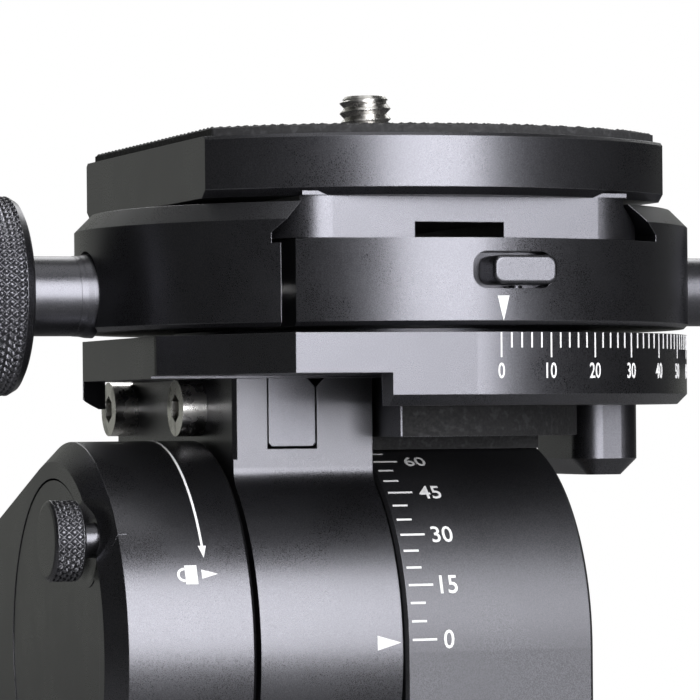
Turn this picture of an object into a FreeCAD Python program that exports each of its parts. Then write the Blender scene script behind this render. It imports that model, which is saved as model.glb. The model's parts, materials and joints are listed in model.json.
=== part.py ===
"""Geared tripod head: a tilt stage on a roll stage, each driven by a worm, under a panning plate clamp.

Frame: +Z up, X to the right, Y to the rear. The origin is the centre of the tripod thread's mouth, in the
underside of the base. Both stages are the same mechanism, built in a frame of their own whose X axis is
the stage's turning axis: the tilt stage as it is, the roll stage turned a quarter so that its axis is Y.
"""
import FreeCAD, Part
import os
import re
from math import radians

import Sketcher
from FreeCAD import Placement, Rotation, Vector

# Driving dimensions: (name, value, what it is). Lengths in millimetres, angles in degrees.
SIZES = [
    ("tilt_z", 96.0, "tilt axis above the base's underside"),
    ("roll_z", 38.0, "roll axis above the base's underside"),
    ("run_fit", 0.05, "radial clearance of a shaft that turns or slides in its hole"),
    ("far", 60.0, "further out than anything on the head, for cuts that must clear it"),
    ("base_rad", 31.0, "base plate radius"),
    ("base_thick", 8.0, "base plate thickness"),
    ("base_chamfer", 1.2, "chamfer round the base plate"),
    ("thread_rad", 3.97, "tap-drill radius of the 3/8-16 tripod thread"),
    ("drum_rad", 24.6, "radius of a stage's housing and ring"),
    ("house_left", -5.8, "left face of the housing along the stage axis"),
    ("house_wide", 23.4, "width of the housing along the stage axis"),
    ("ring_gap", 0.4, "gap between housing and ring"),
    ("ring_wide", 17.2, "width of the ring and its block"),
    ("edge_break", 0.4, "small chamfer on the ring's and the housing's edges"),
    ("knob_gap", 0.5, "gap between ring and lock knob"),
    ("knob_wide", 17.5, "width of the lock knob"),
    ("knob_rad", 24.7, "radius of the lock knob"),
    ("knob_chamfer", 2.3, "chamfer on the lock knob's outer end"),
    ("disc_rad", 20.4, "radius of the end disc in the lock knob"),
    ("disc_thick", 2.0, "thickness of the end disc"),
    ("disc_inset", 0.1, "how far the end disc lies below the knob's end"),
    ("disc_seam", 0.25, "seam round the end disc"),
    ("lever_long", 34.0, "lock lever tip centre from the stage axis"),
    ("lever_tip", 8.0, "radius of the lock lever's tip"),
    ("lever_up", 7.6, "angle of the lock lever above the horizontal at rest"),
    ("lever_thick", 9.0, "thickness of the lock lever along the axis"),
    ("pinch_reach", 20.0, "friction screw from the stage axis"),
    ("pinch_angle", 42.0, "friction screw above the horizontal"),
    ("pinch_rad", 4.7, "radius of the friction screw's head"),
    ("pinch_head", 3.6, "length of the friction screw's head"),
    ("pinch_neck", 1.9, "length of the bare neck under that head"),
    ("pinch_shank", 2.0, "radius of the friction screw's shank"),
    ("scoop_rad", 5.2, "radius of the finger scoop round the friction screw"),
    ("scoop_deep", 3.4, "depth of that scoop"),
    ("block_top", 32.0, "top of the ring's block above the stage axis"),
    ("block_deep", 11.0, "thickness of the block where it stands past the ring"),
    ("block_front", 14.3, "block ahead of the stage axis"),
    ("clamp_rad", 37.3, "radius of the clamp"),
    ("pan_inset", 0.2, "how far the pan base disc lies inside the clamp's rim"),
    ("pan_rad", "=clamp_rad - pan_inset", "radius of the pan base disc"),
    ("block_in", 1.1, "how far the block's rear lies inside the disc's rim"),
    ("block_back", "=pan_rad - block_in", "block behind the tilt axis"),
    ("block_back_low", 14.3, "block behind the roll axis"),
    ("block_bevel", 0.5, "chamfer on the block's upright front edge at the left"),
    ("block_blend", 3.0, "rounding where the block's front meets the ring"),
    ("slot_left", -19.2, "left wall of the block's slot"),
    ("slot_wide", 6.1, "width of the slot and of the tenon in it"),
    ("slot_floor", 23.7, "floor of the slot above the stage axis"),
    ("tenon_round", 0.4, "chamfer on the tenon's lower corners"),
    ("tenon_left", 0.25, "gap at the tenon's left side"),
    ("tenon_low", 0.3, "gap under the tenon"),
    ("tenon_right", 0.1, "gap at the tenon's right side"),
    ("slot_bevel", 1.0, "chamfer on the slot's right edge and on the tenon beside it"),
    ("deck_low", 28.6, "underside of what the block carries, above the stage axis"),
    ("screw_z", 28.6, "height of the block's cross screws above the stage axis"),
    ("screw_front", -0.5, "front cross screw from the tilt axis"),
    ("screw_in", 6.3, "rear cross screw from the block's rear"),
    ("screw_pitch", "=block_back - screw_in - screw_front", "distance between the two cross screws of the tilt stage"),
    ("screw_front_low", -10.0, "first cross screw from the roll axis"),
    ("screw_pitch_low", 10.0, "distance between the two cross screws of the roll stage"),
    ("screw_head", 3.4, "radius of a cross screw's head"),
    ("screw_high", 3.0, "height of a cross screw's head"),
    ("screw_rad", 2.0, "radius of a cross screw's shank"),
    ("screw_long", 14.0, "length of a cross screw's shank"),
    ("base_screw_in", 5.0, "how far a base screw goes into the roll housing"),
    ("hex_rad", 1.73, "corner radius of a cross screw's hexagon socket"),
    ("hex_deep", 1.8, "depth of a hexagon socket"),
    ("shaft_rad", 6.0, "radius of a stage shaft"),
    ("shaft_end", 4.0, "radius of a stage shaft's end journal"),
    ("stud_rad", 3.0, "radius of the lock stud"),
    ("stud_long", 16.5, "length of the lock stud inside the shaft"),
    ("thrust_rad", 13.0, "outer radius of the thrust washer"),
    ("bush_rad", 8.5, "outer radius of the stage bush"),
    ("bush_wide", 6.0, "width of the stage bush"),
    ("end_bush_rad", 6.5, "outer radius of the end bush"),
    ("wheel_x", 5.8, "middle of the worm wheel along the stage axis"),
    ("wheel_wide", 3.6, "width of the worm wheel's rim"),
    ("hub_rad", 8.6, "radius of the worm wheel's hub"),
    ("hub_wide", 7.2, "width of the worm wheel's hub"),
    ("teeth", 40.0, "number of teeth of the worm wheel"),
    ("tooth_size", 0.6, "module of the worm gearing"),
    ("worm_rad", 5.0, "pitch radius of the worm"),
    ("mesh_play", 0.16, "clearance on each flank of the worm's thread"),
    ("cavity_gap", 0.8, "room round the worm wheel and the worm"),
    ("cover_rad", 17.0, "radius of the housing's cover"),
    ("cover_thick", 3.0, "thickness of the cover"),
    ("cover_screw_ring", 15.2, "radius of the ring of cover screws"),
    ("cover_screw_rad", 1.0, "radius of a cover screw's shank"),
    ("cover_screw_head", 1.5, "radius of a cover screw's head"),
    ("cover_screw_high", 1.2, "height of a cover screw's head"),
    ("cover_screw_long", 4.0, "length of a cover screw's shank"),
    ("worm_shaft", 3.0, "radius of the worm's shaft"),
    ("worm_bush_long", 8.0, "length of a worm bush"),
    ("thread_turns", 2.0, "whole turns of the worm's thread on each side of its middle"),
    ("dial_rad", 8.0, "radius of the worm knob"),
    ("dial_long", 12.5, "length of the worm knob"),
    ("dial_gap", 0.5, "gap between the housing and the worm knob"),
    ("dial_flute", 0.7, "radius of a grip flute"),
    ("washer_inset", 12.0, "how far the pan washer lies inside the clamp's rim"),
    ("washer_rad", "=clamp_rad - washer_inset", "outer radius of the pan washer"),
    ("pan_top", 36.9, "top of the pan base disc above the tilt axis"),
    ("pan_step", 32.3, "underside of the disc where its lower layer is cut away"),
    ("pan_chamfer", 1.2, "chamfer round the disc's lower edge"),
    ("flat_in", 3.8, "how far the disc's left flat lies inside its rim"),
    ("pan_flat", "=pan_rad - flat_in", "left flat of the disc from the pan axis"),
    ("facet_in", 1.35, "how far the disc's slanting flat lies inside its rim"),
    ("pan_facet", "=pan_rad - facet_in", "slanting flat of the disc from the pan axis"),
    ("facet_turn", 48.8, "angle of the slanting flat from the front, towards the left"),
    ("notch_rim", -11.5, "notch wall at the disc's rim"),
    ("notch_gap", 0.5, "gap between the ring's block and the notch wall"),
    ("lug_wide", 3.8, "width of the disc's left rear lug"),
    ("lug_left", "=pan_flat - lug_wide", "inner side of that lug from the pan axis"),
    ("lug_in", 17.3, "how far the front end of that side lies inside the disc's rim"),
    ("lug_front", "=pan_rad - lug_in", "front end of that side behind the pan axis"),
    ("skirt_rad", 23.6, "radius of the skirt under the disc"),
    ("skirt_gap", 0.4, "gap between the housing and the skirt"),
    ("skirt_low", "=drum_rad + skirt_gap", "underside of the skirt above the tilt axis"),
    ("foot_in", 4.7, "how far the disc's stop block lies inside its rim"),
    ("foot_wide", 8.4, "width of the stop block"),
    ("foot_right", "=pan_rad - foot_in", "right face of the disc's stop block"),
    ("foot_left", "=foot_right - foot_wide", "left face of the disc's stop block"),
    ("foot_front", -5.0, "front face of the disc's stop block"),
    ("foot_back", 12.0, "rear face of the disc's stop block"),
    ("foot_low", 20.0, "underside of the stop block above the tilt axis"),
    ("foot_round", 3.0, "rounding of the stop block's upright edges"),
    ("foot_chamfer", 2.0, "chamfer round the stop block's underside"),
    ("spindle_rad", 10.0, "radius of the pan spindle"),
    ("spindle_flange", 14.0, "radius of the spindle's flange"),
    ("flange_thick", 3.0, "thickness of the spindle's flange"),
    ("spindle_end", 6.0, "radius of the spindle's end under the nut"),
    ("nut_rad", 14.0, "radius of the pan nut"),
    ("nut_high", 1.8, "height of the pan nut"),
    ("clamp_low", 37.7, "underside of the clamp above the tilt axis"),
    ("groove_floor", 47.6, "floor of the dovetail groove above the tilt axis"),
    ("clamp_top", 52.0, "top of the jaws above the tilt axis"),
    ("clamp_chamfer", 2.1, "chamfer round the top of the jaws"),
    ("rim_break", 0.5, "chamfer round the clamp's lower edge"),
    ("lip_right", 20.8, "right jaw's lip from the pan axis"),
    ("lip_left", -19.6, "left jaw's lip from the pan axis"),
    ("lip_under", 3.6, "depth of the 45 degree undercut"),
    ("split_x", -20.9, "left face of the clamp body"),
    ("split_gap", 1.4, "gap between clamp body and movable jaw"),
    ("jaw_travel", 2.0, "travel of the movable jaw"),
    ("clamp_shaft_z", 42.0, "clamp screw above the tilt axis"),
    ("clamp_shaft", 4.75, "radius of the clamp screw's collar"),
    ("clamp_thread", 3.0, "radius of the clamp screw's thread"),
    ("clamp_knob_x", -46.0, "inner face of the clamp knob"),
    ("clamp_knob_rad", 11.8, "radius of the clamp knob"),
    ("clamp_knob_long", 12.0, "length of the clamp knob"),
    ("clamp_screw_in", 7.0, "how far the clamp screw goes into the clamp body"),
    ("spot_deep", 0.8, "depth of the spot face round the clamp screw"),
    ("spot_room", 0.6, "spot face outside the clamp screw's collar"),
    ("pin_rad", 1.5, "radius of a jaw guide pin"),
    ("pin_y", 20.0, "jaw guide pins from the pan axis"),
    ("pin_hold", 6.0, "how far a guide pin sits in the jaw"),
    ("pin_slide", 8.0, "how far a guide pin reaches into the clamp body"),
    ("spring_long", 3.4, "length of a jaw spring"),
    ("lock_shaft_z", 42.6, "pan lock screw above the tilt axis"),
    ("lock_shaft", 4.25, "radius of the pan lock screw outside the clamp"),
    ("lock_thread", 2.3, "radius of the pan lock screw inside the clamp"),
    ("lock_knob_x", 46.0, "inner face of the pan lock knob"),
    ("lock_knob_rad", 9.5, "radius of the pan lock knob"),
    ("lock_knob_long", 11.0, "length of the pan lock knob"),
    ("shoe_long", 3.0, "length of the pan brake shoe"),
    ("latch_x", 4.2, "middle of the slide button from the pan axis"),
    ("latch_z", 43.95, "middle of the slide button above the tilt axis"),
    ("latch_wide", 7.8, "width of the slide button"),
    ("latch_high", 3.3, "height of the slide button"),
    ("latch_round", 1.2, "rounding of the slide button's corners"),
    ("latch_proud", 1.0, "how far the slide button stands out"),
    ("latch_deep", 4.0, "depth of the button's slot"),
    ("latch_room", 0.45, "room above and below the button in its slot"),
    ("latch_travel", 2.1, "travel of the slide button"),
    ("detent_rad", 0.8, "radius of the button's detent plunger"),
    ("plate_rad", 38.7, "radius of the camera plate"),
    ("plate_back", 5.4, "plate centre behind the pan axis"),
    ("plate_flat", 28.5, "plate's side flats from its middle"),
    ("plate_low", 52.7, "underside of the plate above the tilt axis"),
    ("plate_edge", 53.6, "lower edge of the plate's side above the tilt axis"),
    ("plate_top", 59.8, "upper edge of the plate's side above the tilt axis"),
    ("pad_top", 61.0, "top of the pad above the tilt axis"),
    ("pad_inset", 1.0, "how far the pad lies inside the plate's edge"),
    ("plate_foot", 34.1, "half length of the plate's dovetail"),
    ("foot_fit", 0.25, "clearance of the dovetail in the closed clamp"),
    ("foot_corner", 7.0, "rounding of the dovetail's corners, seen from above"),
    ("channel_left", -5.75, "left wall of the channel under the dovetail"),
    ("channel_wide", 10.9, "width of that channel"),
    ("channel_high", 1.9, "height of that channel"),
    ("mount_screw_rad", 3.175, "radius of the 1/4-20 camera screw"),
    ("mount_screw_up", 5.8, "camera screw above the pad"),
    ("mount_neck", 2.5, "radius of the camera screw's neck in the plate"),
    ("mount_neck_up", 0.3, "top of that neck above the pad"),
    ("mount_head", 4.8, "radius of the camera screw's head"),
    ("mount_head_high", 2.2, "height of the camera screw's head"),
]

doc = FreeCAD.newDocument("geared_tripod_head")
sheet = doc.addObject("Spreadsheet::Sheet", "Sizes")
for row, (name, value, meaning) in enumerate(SIZES, start=1):
    sheet.set(f"A{row}", name)
    sheet.set(f"B{row}", str(value))
    sheet.set(f"C{row}", meaning)
    sheet.setAlias(f"B{row}", name)
doc.recompute()
NAMES = {name for name, _, _ in SIZES}
SAME = 1e-5  # two lengths nearer to each other than this are the same


def of_sheet(text):
    """The expression with each size's name made a reference to the sheet."""
    return re.sub(r"[a-z_]+", lambda word: f"Sizes.{word[0]}" if word[0] in NAMES else word[0], text)


def number(text):
    """The present value of an expression."""
    value = sheet.evalExpression(of_sheet(text))
    return float(getattr(value, "Value", value))


class Piece:
    """One sub-part as a PartDesign body, with short calls for the features it is made of."""

    made = []

    def __init__(self, label):
        self.body = doc.addObject("PartDesign::Body", label)
        self.body.Label = label
        self.count = 0
        Piece.made.append(self.body)

    def sketch(self, plane, start="0"):
        """An empty sketch on one of the body's origin planes, moved along its normal to start."""
        self.count += 1
        sketch = self.body.newObject("Sketcher::SketchObject", f"{self.body.Label}_sketch_{self.count}")
        support = next(item for item in self.body.Origin.OriginFeatures if item.Role == plane + "_Plane")
        sketch.AttachmentSupport = [(support, "")]
        sketch.MapMode = "FlatFace"
        sketch.setExpression("AttachmentOffset.Base.z", of_sheet(start))
        return sketch

    def hold(self, sketch, kind, *place, to):
        """Bind one constraint of a sketch to an expression."""
        index = sketch.addConstraint(Sketcher.Constraint(kind, *place, number(to)))
        sketch.setExpression(f"Constraints[{index}]", of_sheet(to))

    def outline(self, plane, corners, start="0", sketch=None):
        """A closed outline of straight edges, each corner held to its own two sizes."""
        sketch = sketch or self.sketch(plane, start)
        first = sketch.GeometryCount
        points = [Vector(number(x), number(y), 0) for x, y in corners]
        for point, following in zip(points, points[1:] + points[:1]):
            sketch.addGeometry(Part.LineSegment(point, following), False)
        for index, (x, y) in enumerate(corners, start=first):
            following = index + 1 if index < first + len(corners) - 1 else first
            sketch.addConstraint(Sketcher.Constraint("Coincident", index, 2, following, 1))
            self.hold(sketch, "DistanceX", -1, 1, index, 1, to=x)
            self.hold(sketch, "DistanceY", -1, 1, index, 1, to=y)
        return sketch

    def rounded(self, plane, corners, radius, start="0"):
        """A rectangle with rounded corners: four lines, the arcs between them, all bound to the sheet."""
        (left, low), _, (right, high), _ = corners
        x, y, far_x, far_y, bend = (number(size) for size in (left, low, right, high, radius))
        sketch = self.sketch(plane, start)
        ends = [(x + bend, y), (far_x - bend, y), (far_x, y + bend), (far_x, far_y - bend),
                (far_x - bend, far_y), (x + bend, far_y), (x, far_y - bend), (x, y + bend)]
        for index in range(0, 8, 2):
            sketch.addGeometry(Part.LineSegment(Vector(*ends[index], 0), Vector(*ends[index + 1], 0)), False)
        middles = [(far_x - bend, y + bend), (far_x - bend, far_y - bend), (x + bend, far_y - bend),
                   (x + bend, y + bend)]
        for index, middle in enumerate(middles):
            bow = Part.Circle(Vector(*middle, 0), Vector(0, 0, 1), bend)
            sketch.addGeometry(Part.ArcOfCircle(bow, radians(90 * index - 90), radians(90 * index)), False)
        for index, (kind, hold, size) in enumerate((("Horizontal", "DistanceY", low), ("Vertical", "DistanceX", right),
                                                    ("Horizontal", "DistanceY", high),
                                                    ("Vertical", "DistanceX", left))):
            sketch.addConstraint(Sketcher.Constraint(kind, index))
            sketch.addConstraint(Sketcher.Constraint("Tangent", index, 2, 4 + index, 1))
            sketch.addConstraint(Sketcher.Constraint("Tangent", 4 + index, 2, (index + 1) % 4, 1))
            self.hold(sketch, hold, -1, 1, index, 1, to=size)
            self.hold(sketch, "Radius", 4 + index, to=radius)
        return sketch

    def circle(self, plane, radius, x="0", y="0", start="0"):
        """A circle held by its centre and radius."""
        sketch = self.sketch(plane, start)
        sketch.addGeometry(Part.Circle(Vector(number(x), number(y), 0), Vector(0, 0, 1), number(radius)), False)
        self.hold(sketch, "DistanceX", -1, 1, 0, 3, to=x)
        self.hold(sketch, "DistanceY", -1, 1, 0, 3, to=y)
        self.hold(sketch, "Radius", 0, to=radius)
        return sketch

    def feature(self, kind, sketch, **settings):
        """Add a feature on a sketch. Settings that are text are expressions."""
        feature = self.body.newObject("PartDesign::" + kind, f"{self.body.Label}_{kind}_{self.count}")
        feature.Profile = sketch
        for name, value in settings.items():
            if isinstance(value, str):
                setattr(feature, name, number(value))
                feature.setExpression(name, of_sheet(value))
            else:
                setattr(feature, name, value)
        self.body.Tip = feature
        doc.recompute()
        return feature

    def pad(self, sketch, length):
        """Grow the sketch along its plane's normal."""
        return self.feature("Pad", sketch, Length=length)

    def cut(self, sketch, length):
        """Cut the sketch along its plane's normal, and check that something went."""
        before = self.body.Shape.Volume
        feature = self.feature("Pocket", sketch, Length=length, Reversed=True)
        if self.body.Shape.Volume > before - 1e-3:
            raise RuntimeError(f"{feature.Label} cuts nothing")
        return feature

    def turn(self, corners, plane="XZ", axis="V_Axis"):
        """Revolve an outline about one of its sketch's axes."""
        sketch = self.outline(plane, corners)
        return self.feature("Revolution", sketch, ReferenceAxis=(sketch, [axis]), Angle=360.0)

    def round_edges(self, kind, size, wanted):
        """Fillet or chamfer the edges that wanted picks."""
        base = self.body.Tip
        edges = [f"Edge{index}" for index, edge in enumerate(base.Shape.Edges, start=1) if wanted(edge)]
        if not edges:
            raise RuntimeError(f"{self.body.Label}: no edge for its {kind}")
        feature = self.body.newObject("PartDesign::" + kind, f"{self.body.Label}_{kind}_{self.count}")
        feature.Base = (base, edges)
        setattr(feature, "Radius" if kind == "Fillet" else "Size", number(size))
        feature.setExpression("Radius" if kind == "Fillet" else "Size", of_sheet(size))
        self.body.Tip = feature
        doc.recompute()

    def repeat(self, feature, axis, count):
        """Repeat a feature evenly round one of the body's origin axes."""
        pattern = self.body.newObject("PartDesign::PolarPattern", feature.Label + "_pattern")
        line = next(item for item in self.body.Origin.OriginFeatures if item.Role == axis + "_Axis")
        pattern.Originals = [feature]
        pattern.Axis = (line, [""])
        pattern.Angle = 360.0
        pattern.Occurrences = int(number(count))
        self.body.Tip = pattern
        doc.recompute()

    def seat(self, x="0", y="0", z="0", turn=None):
        """Put the finished body at its place in the head."""
        put(self.body, x, y, z, turn)


def put(item, x, y, z, turn=None):
    """Turn an item and bind its place to the sheet."""
    item.Placement = Placement(Vector(0, 0, 0), turn or Rotation())
    for name, text in (("x", x), ("y", y), ("z", z)):
        item.setExpression(f"Placement.Base.{name}", of_sheet(text))


def rectangle(left, low, right, high):
    """The four corners of a rectangle."""
    return [(left, low), (right, low), (right, high), (left, high)]


def flat_cap(radius):
    """Picks the edges that are full circles of one radius."""
    size = number(radius)
    return lambda edge: edge.Curve.TypeId == "Part::GeomCircle" and abs(edge.Curve.Radius - size) < SAME


# ---------------------------------------------------------------- stages

HOUSE_RIGHT = "(house_left + house_wide)"
SLOT_RIGHT = "(slot_left + slot_wide)"
TENON = [("slot_left + tenon_left", "slot_floor + tenon_low + tenon_round"),
         ("slot_left + tenon_left + tenon_round", "slot_floor + tenon_low"),
         ("slot_left + slot_wide - tenon_right - tenon_round", "slot_floor + tenon_low"),
         ("slot_left + slot_wide - tenon_right", "slot_floor + tenon_low + tenon_round"),
         ("slot_left + slot_wide - tenon_right", "block_top - slot_bevel"),
         ("slot_left + slot_wide - tenon_right - slot_bevel", "block_top"),
         ("slot_left + slot_wide - tenon_right - slot_bevel", "block_top + 1"),
         ("slot_left + tenon_left", "block_top + 1")]
RING_LEFT = "(house_left - ring_gap - ring_wide)"
RING_RIGHT = "(house_left - ring_gap)"
KNOB_RIGHT = "(house_left - ring_gap - ring_wide - knob_gap)"
KNOB_LEFT = "(house_left - ring_gap - ring_wide - knob_gap - knob_wide)"
WHEEL_RAD = "(teeth * tooth_size / 2)"
WORM_LOW = "(teeth * tooth_size / 2 + worm_rad)"
WORM_TIP = "(worm_rad + tooth_size)"
WORM_ROOT = "(worm_rad - 1.2 * tooth_size)"
WORM_BORE = "(worm_rad + tooth_size + cavity_gap)"
CAVITY = "(teeth * tooth_size / 2 + tooth_size + cavity_gap)"


class Stage:
    """One geared stage: where it stands, and which of its sides the worm knob is on."""

    def __init__(self, name, height, turned, foot, knob_side):
        self.name = name
        self.height = height
        self.turned = turned
        self.foot = foot
        self.knob_side = knob_side

    def seat(self, piece, x="0", y="0", z="0", turn=None):
        """Place a piece given in the stage's own frame."""
        quarter = Rotation(Vector(0, 0, 1), 90 if self.turned else 0)
        place = (f"-({y})", x) if self.turned else (x, y)
        put(getattr(piece, "body", piece), place[0], place[1], f"{self.height} + {z}",
            quarter * (turn or Rotation()))

    def housing(self):
        """Inverted U with the gear cavity, the shaft's bush seat and the worm's bore."""
        piece = Piece(self.name + "_housing")
        piece.pad(piece.circle("YZ", "drum_rad", start="house_left"), "house_wide")
        walls = rectangle("-drum_rad", f"-({self.foot})", "drum_rad", "0")
        piece.pad(piece.outline("YZ", walls, "house_left"), "house_wide")
        ends = {number("house_left"), number(HOUSE_RIGHT)}
        piece.round_edges("Chamfer", "edge_break", lambda edge: at_ends(edge, ends, number("-(drum_rad)")))
        piece.cut(piece.circle("YZ", "cover_rad", start=f"{HOUSE_RIGHT} - cover_thick"), "cover_thick")
        inner = "house_left + bush_wide"
        piece.cut(piece.circle("YZ", CAVITY, start=inner), "house_wide - bush_wide - cover_thick")
        piece.cut(piece.circle("YZ", "bush_rad", start="house_left"), "bush_wide")
        piece.cut(piece.circle("XZ", WORM_BORE, "wheel_x", f"-{WORM_LOW}", "-drum_rad"), "2 * drum_rad")
        hole = piece.circle("YZ", "cover_screw_rad", "cover_screw_ring", "0",
                            f"{HOUSE_RIGHT} - cover_thick - cover_screw_long")
        piece.repeat(piece.cut(hole, "cover_screw_long"), "X", "4")
        return piece

    def cover(self):
        """Round cover in the housing's right face, with counterbores for its screws."""
        piece = Piece(self.name + "_cover")
        piece.pad(piece.circle("YZ", "cover_rad", start=f"{HOUSE_RIGHT} - cover_thick"), "cover_thick")
        piece.cut(piece.circle("YZ", "end_bush_rad", start=f"{HOUSE_RIGHT} - cover_thick"), "cover_thick")
        start = f"{HOUSE_RIGHT} - cover_thick"
        hole = piece.circle("YZ", "cover_screw_rad", "cover_screw_ring", "0", start)
        piece.repeat(piece.cut(hole, "cover_thick"), "X", "4")
        sink = piece.circle("YZ", "cover_screw_head", "cover_screw_ring", "0",
                            f"{HOUSE_RIGHT} - cover_screw_high")
        piece.repeat(piece.cut(sink, "cover_screw_high"), "X", "4")
        self.seat(piece)

    def bushes(self):
        """Bronze bushes of the stage shaft, one in the housing and one in the cover."""
        near = Piece(self.name + "_bush")
        near.pad(near.circle("YZ", "bush_rad", start="house_left"), "bush_wide")
        near.cut(near.circle("YZ", "shaft_rad + run_fit", start="house_left"), "bush_wide")
        self.seat(near)
        end = Piece(self.name + "_end_bush")
        start = f"{HOUSE_RIGHT} - cover_thick"
        end.pad(end.circle("YZ", "end_bush_rad", start=start), "cover_thick")
        end.cut(end.circle("YZ", "shaft_end + run_fit", start=start), "cover_thick")
        self.seat(end)

    def bracket(self, back, screws):
        """Ring round the stage axis in one piece with the block that carries what turns."""
        piece = Piece(self.name + "_bracket")
        piece.pad(piece.circle("YZ", "drum_rad", start=RING_LEFT), "ring_wide")
        low = "block_top - block_deep"
        block = [("-block_front", "0"), ("-block_front", "block_top"), (back, "block_top"), (back, low),
                 ("block_front - 2 * edge_break", low), ("block_front - 2 * edge_break", "0")]
        piece.pad(piece.outline("YZ", block, RING_LEFT), "ring_wide")
        front = number("-block_front")
        top = number("block_top")
        piece.round_edges("Fillet", "block_blend", lambda edge: abs(edge.BoundBox.YMin - front) < SAME
                          and abs(edge.BoundBox.YMax - front) < SAME and abs(edge.BoundBox.ZLength) < SAME
                          and edge.BoundBox.ZMax < top - 1 and edge.BoundBox.ZMin > 1)
        bevel = [(f"{RING_LEFT} - 1", "-block_front - 1"), (f"{RING_LEFT} + block_bevel + 1", "-block_front - 1"),
                 (f"{RING_LEFT} - 1", "-block_front + block_bevel + 1")]
        piece.cut(piece.outline("XY", bevel, f"{low} + block_blend / 2"), "block_deep - block_blend / 2 + 1")
        slot = [("slot_left", "slot_floor"), (SLOT_RIGHT, "slot_floor"), (SLOT_RIGHT, "block_top - slot_bevel"),
                (f"{SLOT_RIGHT} + slot_bevel", "block_top"), (f"{SLOT_RIGHT} + slot_bevel", "block_top + 1"),
                ("slot_left", "block_top + 1")]
        piece.cut(piece.outline("XZ", slot, f"-({back})"), f"block_front + {back}")
        piece.cut(piece.circle("YZ", "shaft_rad", start=RING_LEFT), "ring_wide")
        for place in screws:
            piece.cut(piece.circle("YZ", "screw_rad", place, "screw_z", RING_LEFT), "screw_long")
        self.seat(piece)

    def shaft(self):
        """Stepped shaft, bored for the lock stud."""
        piece = Piece(self.name + "_shaft")
        shoulder = f"{HOUSE_RIGHT} - cover_thick - 1"
        piece.turn([(RING_LEFT, "stud_rad + run_fit"), (RING_LEFT, "shaft_rad"), (shoulder, "shaft_rad"),
                    (shoulder, "shaft_end"), (HOUSE_RIGHT, "shaft_end"), (HOUSE_RIGHT, "0"),
                    (f"{RING_LEFT} + stud_long + 1", "0"), (f"{RING_LEFT} + stud_long + 1", "stud_rad + run_fit")],
                   axis="H_Axis")
        self.seat(piece)

    def washer(self):
        """Thrust washer between ring and housing."""
        piece = Piece(self.name + "_washer")
        thick = "ring_gap - 0.15"
        piece.pad(piece.circle("YZ", "thrust_rad", start=RING_RIGHT), thick)
        piece.cut(piece.circle("YZ", "shaft_rad", start=RING_RIGHT), thick)
        self.seat(piece)

    def wheel(self):
        """Worm wheel: rim, hub and a tooth space repeated round it."""
        piece = Piece(self.name + "_wheel")
        piece.pad(piece.circle("YZ", f"{WHEEL_RAD} + tooth_size", start="wheel_x - wheel_wide / 2"), "wheel_wide")
        piece.pad(piece.circle("YZ", "hub_rad", start="wheel_x - hub_wide / 2"), "hub_wide")
        piece.cut(piece.circle("YZ", "shaft_rad", start="wheel_x - hub_wide / 2"), "hub_wide")
        pitch = "pi * tooth_size"
        slope = "tan(20)"
        outer = f"({pitch} / 4 + mesh_play / 2 + tooth_size * {slope})"
        inner = f"({pitch} / 4 + mesh_play / 2 - 1.25 * tooth_size * {slope})"
        beyond = f"({outer} + 0.5 * {slope})"
        space = [(f"-{inner}", f"-({WHEEL_RAD} - 1.25 * tooth_size)"),
                 (inner, f"-({WHEEL_RAD} - 1.25 * tooth_size)"),
                 (beyond, f"-({WHEEL_RAD} + tooth_size + 0.5)"),
                 (f"-{beyond}", f"-({WHEEL_RAD} + tooth_size + 0.5)")]
        cut = piece.cut(piece.outline("YZ", space, "wheel_x - wheel_wide / 2 - 1"), "wheel_wide + 2")
        piece.repeat(cut, "X", "teeth")
        self.seat(piece)

    def worm(self):
        """Worm and its shaft, with a helical thread."""
        piece = Piece(self.name + "_worm")
        pitch = "pi * tooth_size"
        half = f"(thread_turns + 0.25) * {pitch}"
        tail = "(drum_rad - worm_bush_long + 1)"
        end = "(drum_rad + dial_gap + dial_long)"
        core = f"({WORM_ROOT})"
        piece.turn([("0", f"-{tail} - 4"), ("worm_shaft", f"-{tail} - 4"), ("worm_shaft", f"-{half} - 1"),
                    (core, f"-{half} - 1"), (core, f"{half} + 1"), ("worm_shaft", f"{half} + 1"),
                    ("worm_shaft", end), ("0", end)])
        slope = "tan(20)"
        wide = f"({pitch} / 4 - mesh_play / 2 + 1.2 * tooth_size * {slope})"
        tip = f"({pitch} / 4 - mesh_play / 2 - tooth_size * {slope})"
        sunk = "0.25"
        thread = [(f"{core} - {sunk}", f"-{half} - {wide}"), (WORM_TIP, f"-{half} - {tip}"),
                  (WORM_TIP, f"-{half} + {tip}"), (f"{core} - {sunk}", f"-{half} + {wide}")]
        sketch = piece.outline("XZ", thread)
        piece.feature("AdditiveHelix", sketch, ReferenceAxis=(sketch, ["V_Axis"]), Mode=0,
                      Pitch=pitch, Height=f"(2 * thread_turns + 0.5) * {pitch}")
        turn = Rotation(Vector(1, 0, 0), -90 * self.knob_side) * Rotation(Vector(0, 0, 1), 90 + 90 * self.knob_side)
        self.seat(piece, "wheel_x", "0", f"-{WORM_LOW}", turn)

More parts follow.
